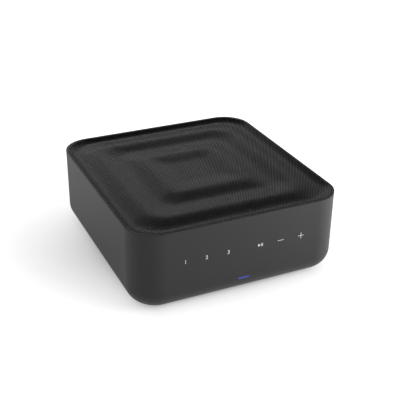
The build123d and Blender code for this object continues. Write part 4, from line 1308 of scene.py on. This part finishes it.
@dataclass
class Studio:
    """Floor, lights, world and camera."""

    look_height: float = 40 * MM
    azimuth: float = -24.657
    elevation: float = 28.053
    roll: float = 0.483
    distance: float = 852.9 * MM
    focal_pixels: float = 809.6
    image_size: float = 400.0
    middle_pixel: tuple[float, float] = (193.386, 206.157)
    sensor: float = 36.0
    clip: tuple[float, float] = (0.01, 50.0)
    lamps: tuple[Lamp, ...] = (
        Lamp("near_light", (0.38, -0.36, 0.13), 0.2, 0.75),
        Lamp("side_light", (0.86, -0.91, 0.62), 0.9, 6.6),
    )
    # The wall behind the case: its strength at foot and head, and between which directions it
    # rises, falls and darkens towards its right end
    wall_foot: float = 0.42
    wall_head: float = 2.3
    wall_loss: float = 0.25
    wall_rise: tuple[float, float] = (0.15, 0.4)
    wall_fall: tuple[float, float] = (0.4, 0.65)
    wall_ends: tuple[float, float] = (0.42, 0.62)
    ceiling: float = 0.05
    ceiling_rise: tuple[float, float] = (0.3, 0.6)
    floor_size: float = 12.0
    floor_colour: str = "#e6e6e6"
    # The floor's own light: even, less a painted shadow round the case's foot, a painted wide
    # shade round the case and a painted pool of shade on its left
    glow: float = 1.206
    foot: Outline = Outline(178 * MM, 193 * MM, 11.5 * MM, -5 * MM)
    painted_foot_shadow: float = 0.6
    foot_reach: float = 8 * MM
    painted_wide_shade: float = 0.333
    wide_reach: float = 153.8 * MM
    painted_pool_shade: float = 0.44
    pool_place: tuple[float, float] = (-36.9 * MM, -20.4 * MM)
    pool_size: tuple[float, float] = (89.9 * MM, 162.7 * MM)
    pool_turn: float = 62.49
    # Share of that light that glossy and transmitted rays meet. The camera's rays meet all of it
    mirrored: float = 0.6

    def camera(self) -> None:
        """The camera at the photograph's angle."""
        data = bpy.data.cameras.new("camera")
        data.sensor_width = self.sensor
        data.lens = self.sensor * self.focal_pixels / self.image_size
        data.shift_x = (self.image_size / 2 - self.middle_pixel[0]) / self.image_size
        data.shift_y = (self.middle_pixel[1] - self.image_size / 2) / self.image_size
        data.clip_start, data.clip_end = self.clip
        turn, lift = math.radians(self.azimuth), math.radians(self.elevation)
        back = Vector(
            (math.sin(turn) * math.cos(lift), -math.cos(turn) * math.cos(lift), math.sin(lift))
        )
        look = Vector((0.0, case_outline().middle, self.look_height))
        right = Vector((math.cos(turn), math.sin(turn), 0.0))
        up = back.cross(right)
        tilt = math.radians(self.roll)
        rolled_right = right * math.cos(tilt) + up * math.sin(tilt)
        rolled_up = up * math.cos(tilt) - right * math.sin(tilt)
        made = new_object("camera", data)
        axes = Matrix((rolled_right, rolled_up, back)).transposed().to_4x4()
        made.matrix_world = Matrix.Translation(look + back * self.distance) @ axes
        bpy.context.scene.camera = made

    def floor_glow(self, tree: NodeTree) -> Node:
        """The floor's own light, with a painted shadow from the distance to the case's foot and a
        painted pool of shade on its left.

        Args:
            tree: The floor's shader tree.

        Returns:
            The node that gives the strength.
        """
        place = add_node(tree, "ShaderNodeTexCoord").outputs["Object"]
        known = {}
        known["X"], known["Y"], _ = add_node(tree, "ShaderNodeSeparateXYZ", {0: place}).outputs
        foot = self.foot
        turn = math.radians(self.pool_turn)
        cosine, sine = math.cos(turn), math.sin(turn)
        # Painted shadow: the floor's light is taken down near the case's foot, in a wide band
        # round the case and in a pool on its left
        add_formulas(
            tree,
            known,
            out_x=("MAXIMUM", ("-", ("ABSOLUTE", "X"), foot.width / 2 - foot.radius), 0.0),
            before=("ABSOLUTE", ("-", "Y", foot.middle)),
            out_y=("MAXIMUM", ("-", "before", foot.depth / 2 - foot.radius), 0.0),
            corner=("SQRT", ("+", ("*", "out_x", "out_x"), ("*", "out_y", "out_y"))),
            away=("MAXIMUM", ("-", "corner", foot.radius), 0.0),
            near=("EXPONENT", ("/", "away", -self.foot_reach)),
            wide=("EXPONENT", ("/", "away", -self.wide_reach)),
            side=("-", "X", self.pool_place[0]),
            ahead=("-", "Y", self.pool_place[1]),
            across=("/", ("+", ("*", "side", cosine), ("*", "ahead", sine)), self.pool_size[0]),
            along=("/", ("-", ("*", "ahead", cosine), ("*", "side", sine)), self.pool_size[1]),
            spread=("+", ("*", "across", "across"), ("*", "along", "along")),
            pool=("EXPONENT", ("*", "spread", -1.0)),
            less_near=("-", self.glow, ("*", "near", self.painted_foot_shadow)),
            less_wide=("-", "less_near", ("*", "wide", self.painted_wide_shade)),
            glow=("MAXIMUM", ("-", "less_wide", ("*", "pool", self.painted_pool_shade)), 0.0),
        )
        return known["glow"]

    def floor(self) -> None:
        """A pale floor that keeps the object's shadow and is white to the camera, with a painted
        shadow round the case in its own light.
        """
        half = self.floor_size / 2
        mesh = bpy.data.meshes.new("floor")
        corners = [(-half, -half, 0), (half, -half, 0), (half, half, 0), (-half, half, 0)]
        mesh.from_pydata(corners, [], [(0, 1, 2, 3)])
        floor = new_object("floor", mesh)
        made = bpy.data.materials.new("white studio floor")
        made.use_nodes = True
        tree = made.node_tree
        tree.nodes.clear()
        matt = add_node(tree, "ShaderNodeBsdfDiffuse", {"Color": linear(self.floor_colour)})
        rays = add_node(tree, "ShaderNodeLightPath").outputs
        known = {socket.name: socket for socket in rays}
        known["glow"] = self.floor_glow(tree)
        met = ("MAXIMUM", "Is Glossy Ray", "Is Transmission Ray")
        seen = ("MULTIPLY_ADD", met, self.mirrored, "Is Camera Ray")
        add_formulas(tree, known, strength=("*", seen, "glow"))
        white = add_node(tree, "ShaderNodeEmission", {"Strength": known["strength"]})
        both = add_node(tree, "ShaderNodeAddShader", {0: matt, 1: white})
        add_node(tree, "ShaderNodeOutputMaterial", {"Surface": both})
        floor.data.materials.append(made)

    def world(self) -> None:
        """A dim room with one bright wall behind the case, which the ripples mirror.

        To the camera the room is white.
        """
        made = bpy.data.worlds.new("studio")
        made.use_nodes = True
        tree = made.node_tree
        tree.nodes.clear()
        place = add_node(tree, "ShaderNodeTexCoord").outputs["Generated"]
        x, y, z = add_node(tree, "ShaderNodeSeparateXYZ", {0: place}).outputs
        known = {"Y": y, "camera": add_node(tree, "ShaderNodeLightPath").outputs["Is Camera Ray"]}
        # Smooth changes with the direction: the axis, between which values, and from what to what
        fades = {
            "rise": (z, *self.wall_rise, self.wall_foot, self.wall_head),
            "fall": (z, *self.wall_fall, 1.0, 0.0),
            "side": (x, *self.wall_ends, 1.0, 1.0 - self.wall_loss),
            "above": (z, *self.ceiling_rise, 0.0, self.ceiling),
        }
        for name, values in fades.items():
            limits = dict(zip(RANGE, values))
            smooth = {"interpolation_type": "SMOOTHSTEP"}
            known[name] = add_node(tree, "ShaderNodeMapRange", limits, **smooth)
        add_formulas(
            tree,
            known,
            ahead=("MAXIMUM", "Y", 0.0),
            wall=("*", ("*", ("*", "ahead", "ahead"), ("*", "rise", "fall")), "side"),
            seen=("MAXIMUM", ("+", "wall", "above"), "camera"),
        )
        room = add_node(tree, "ShaderNodeBackground", {"Strength": known["seen"]})
        room.inputs["Color"].default_value = (1, 1, 1, 1)
        add_node(tree, "ShaderNodeOutputWorld", {"Surface": room})
        bpy.context.scene.world = made

    def build(self) -> None:
        """Builds the whole studio."""
        bpy.context.scene.view_settings.view_transform = "Standard"
        self.camera()
        self.floor()
        self.world()
        for lamp in self.lamps:
            lamp.build(Vector((0.0, 0.0, self.look_height)))
        LOG.info("studio built")


def main() -> None:
    """Builds the amplifier's looks and the studio round it."""
    logging.basicConfig(level=logging.INFO, format="%(message)s")
    CadFinishes().build()
    Cabinet().build()
    TopGrille().build()
    TouchSigns().build()
    Screws().build()
    Studio().build()


if __name__ == "__main__":
    main()
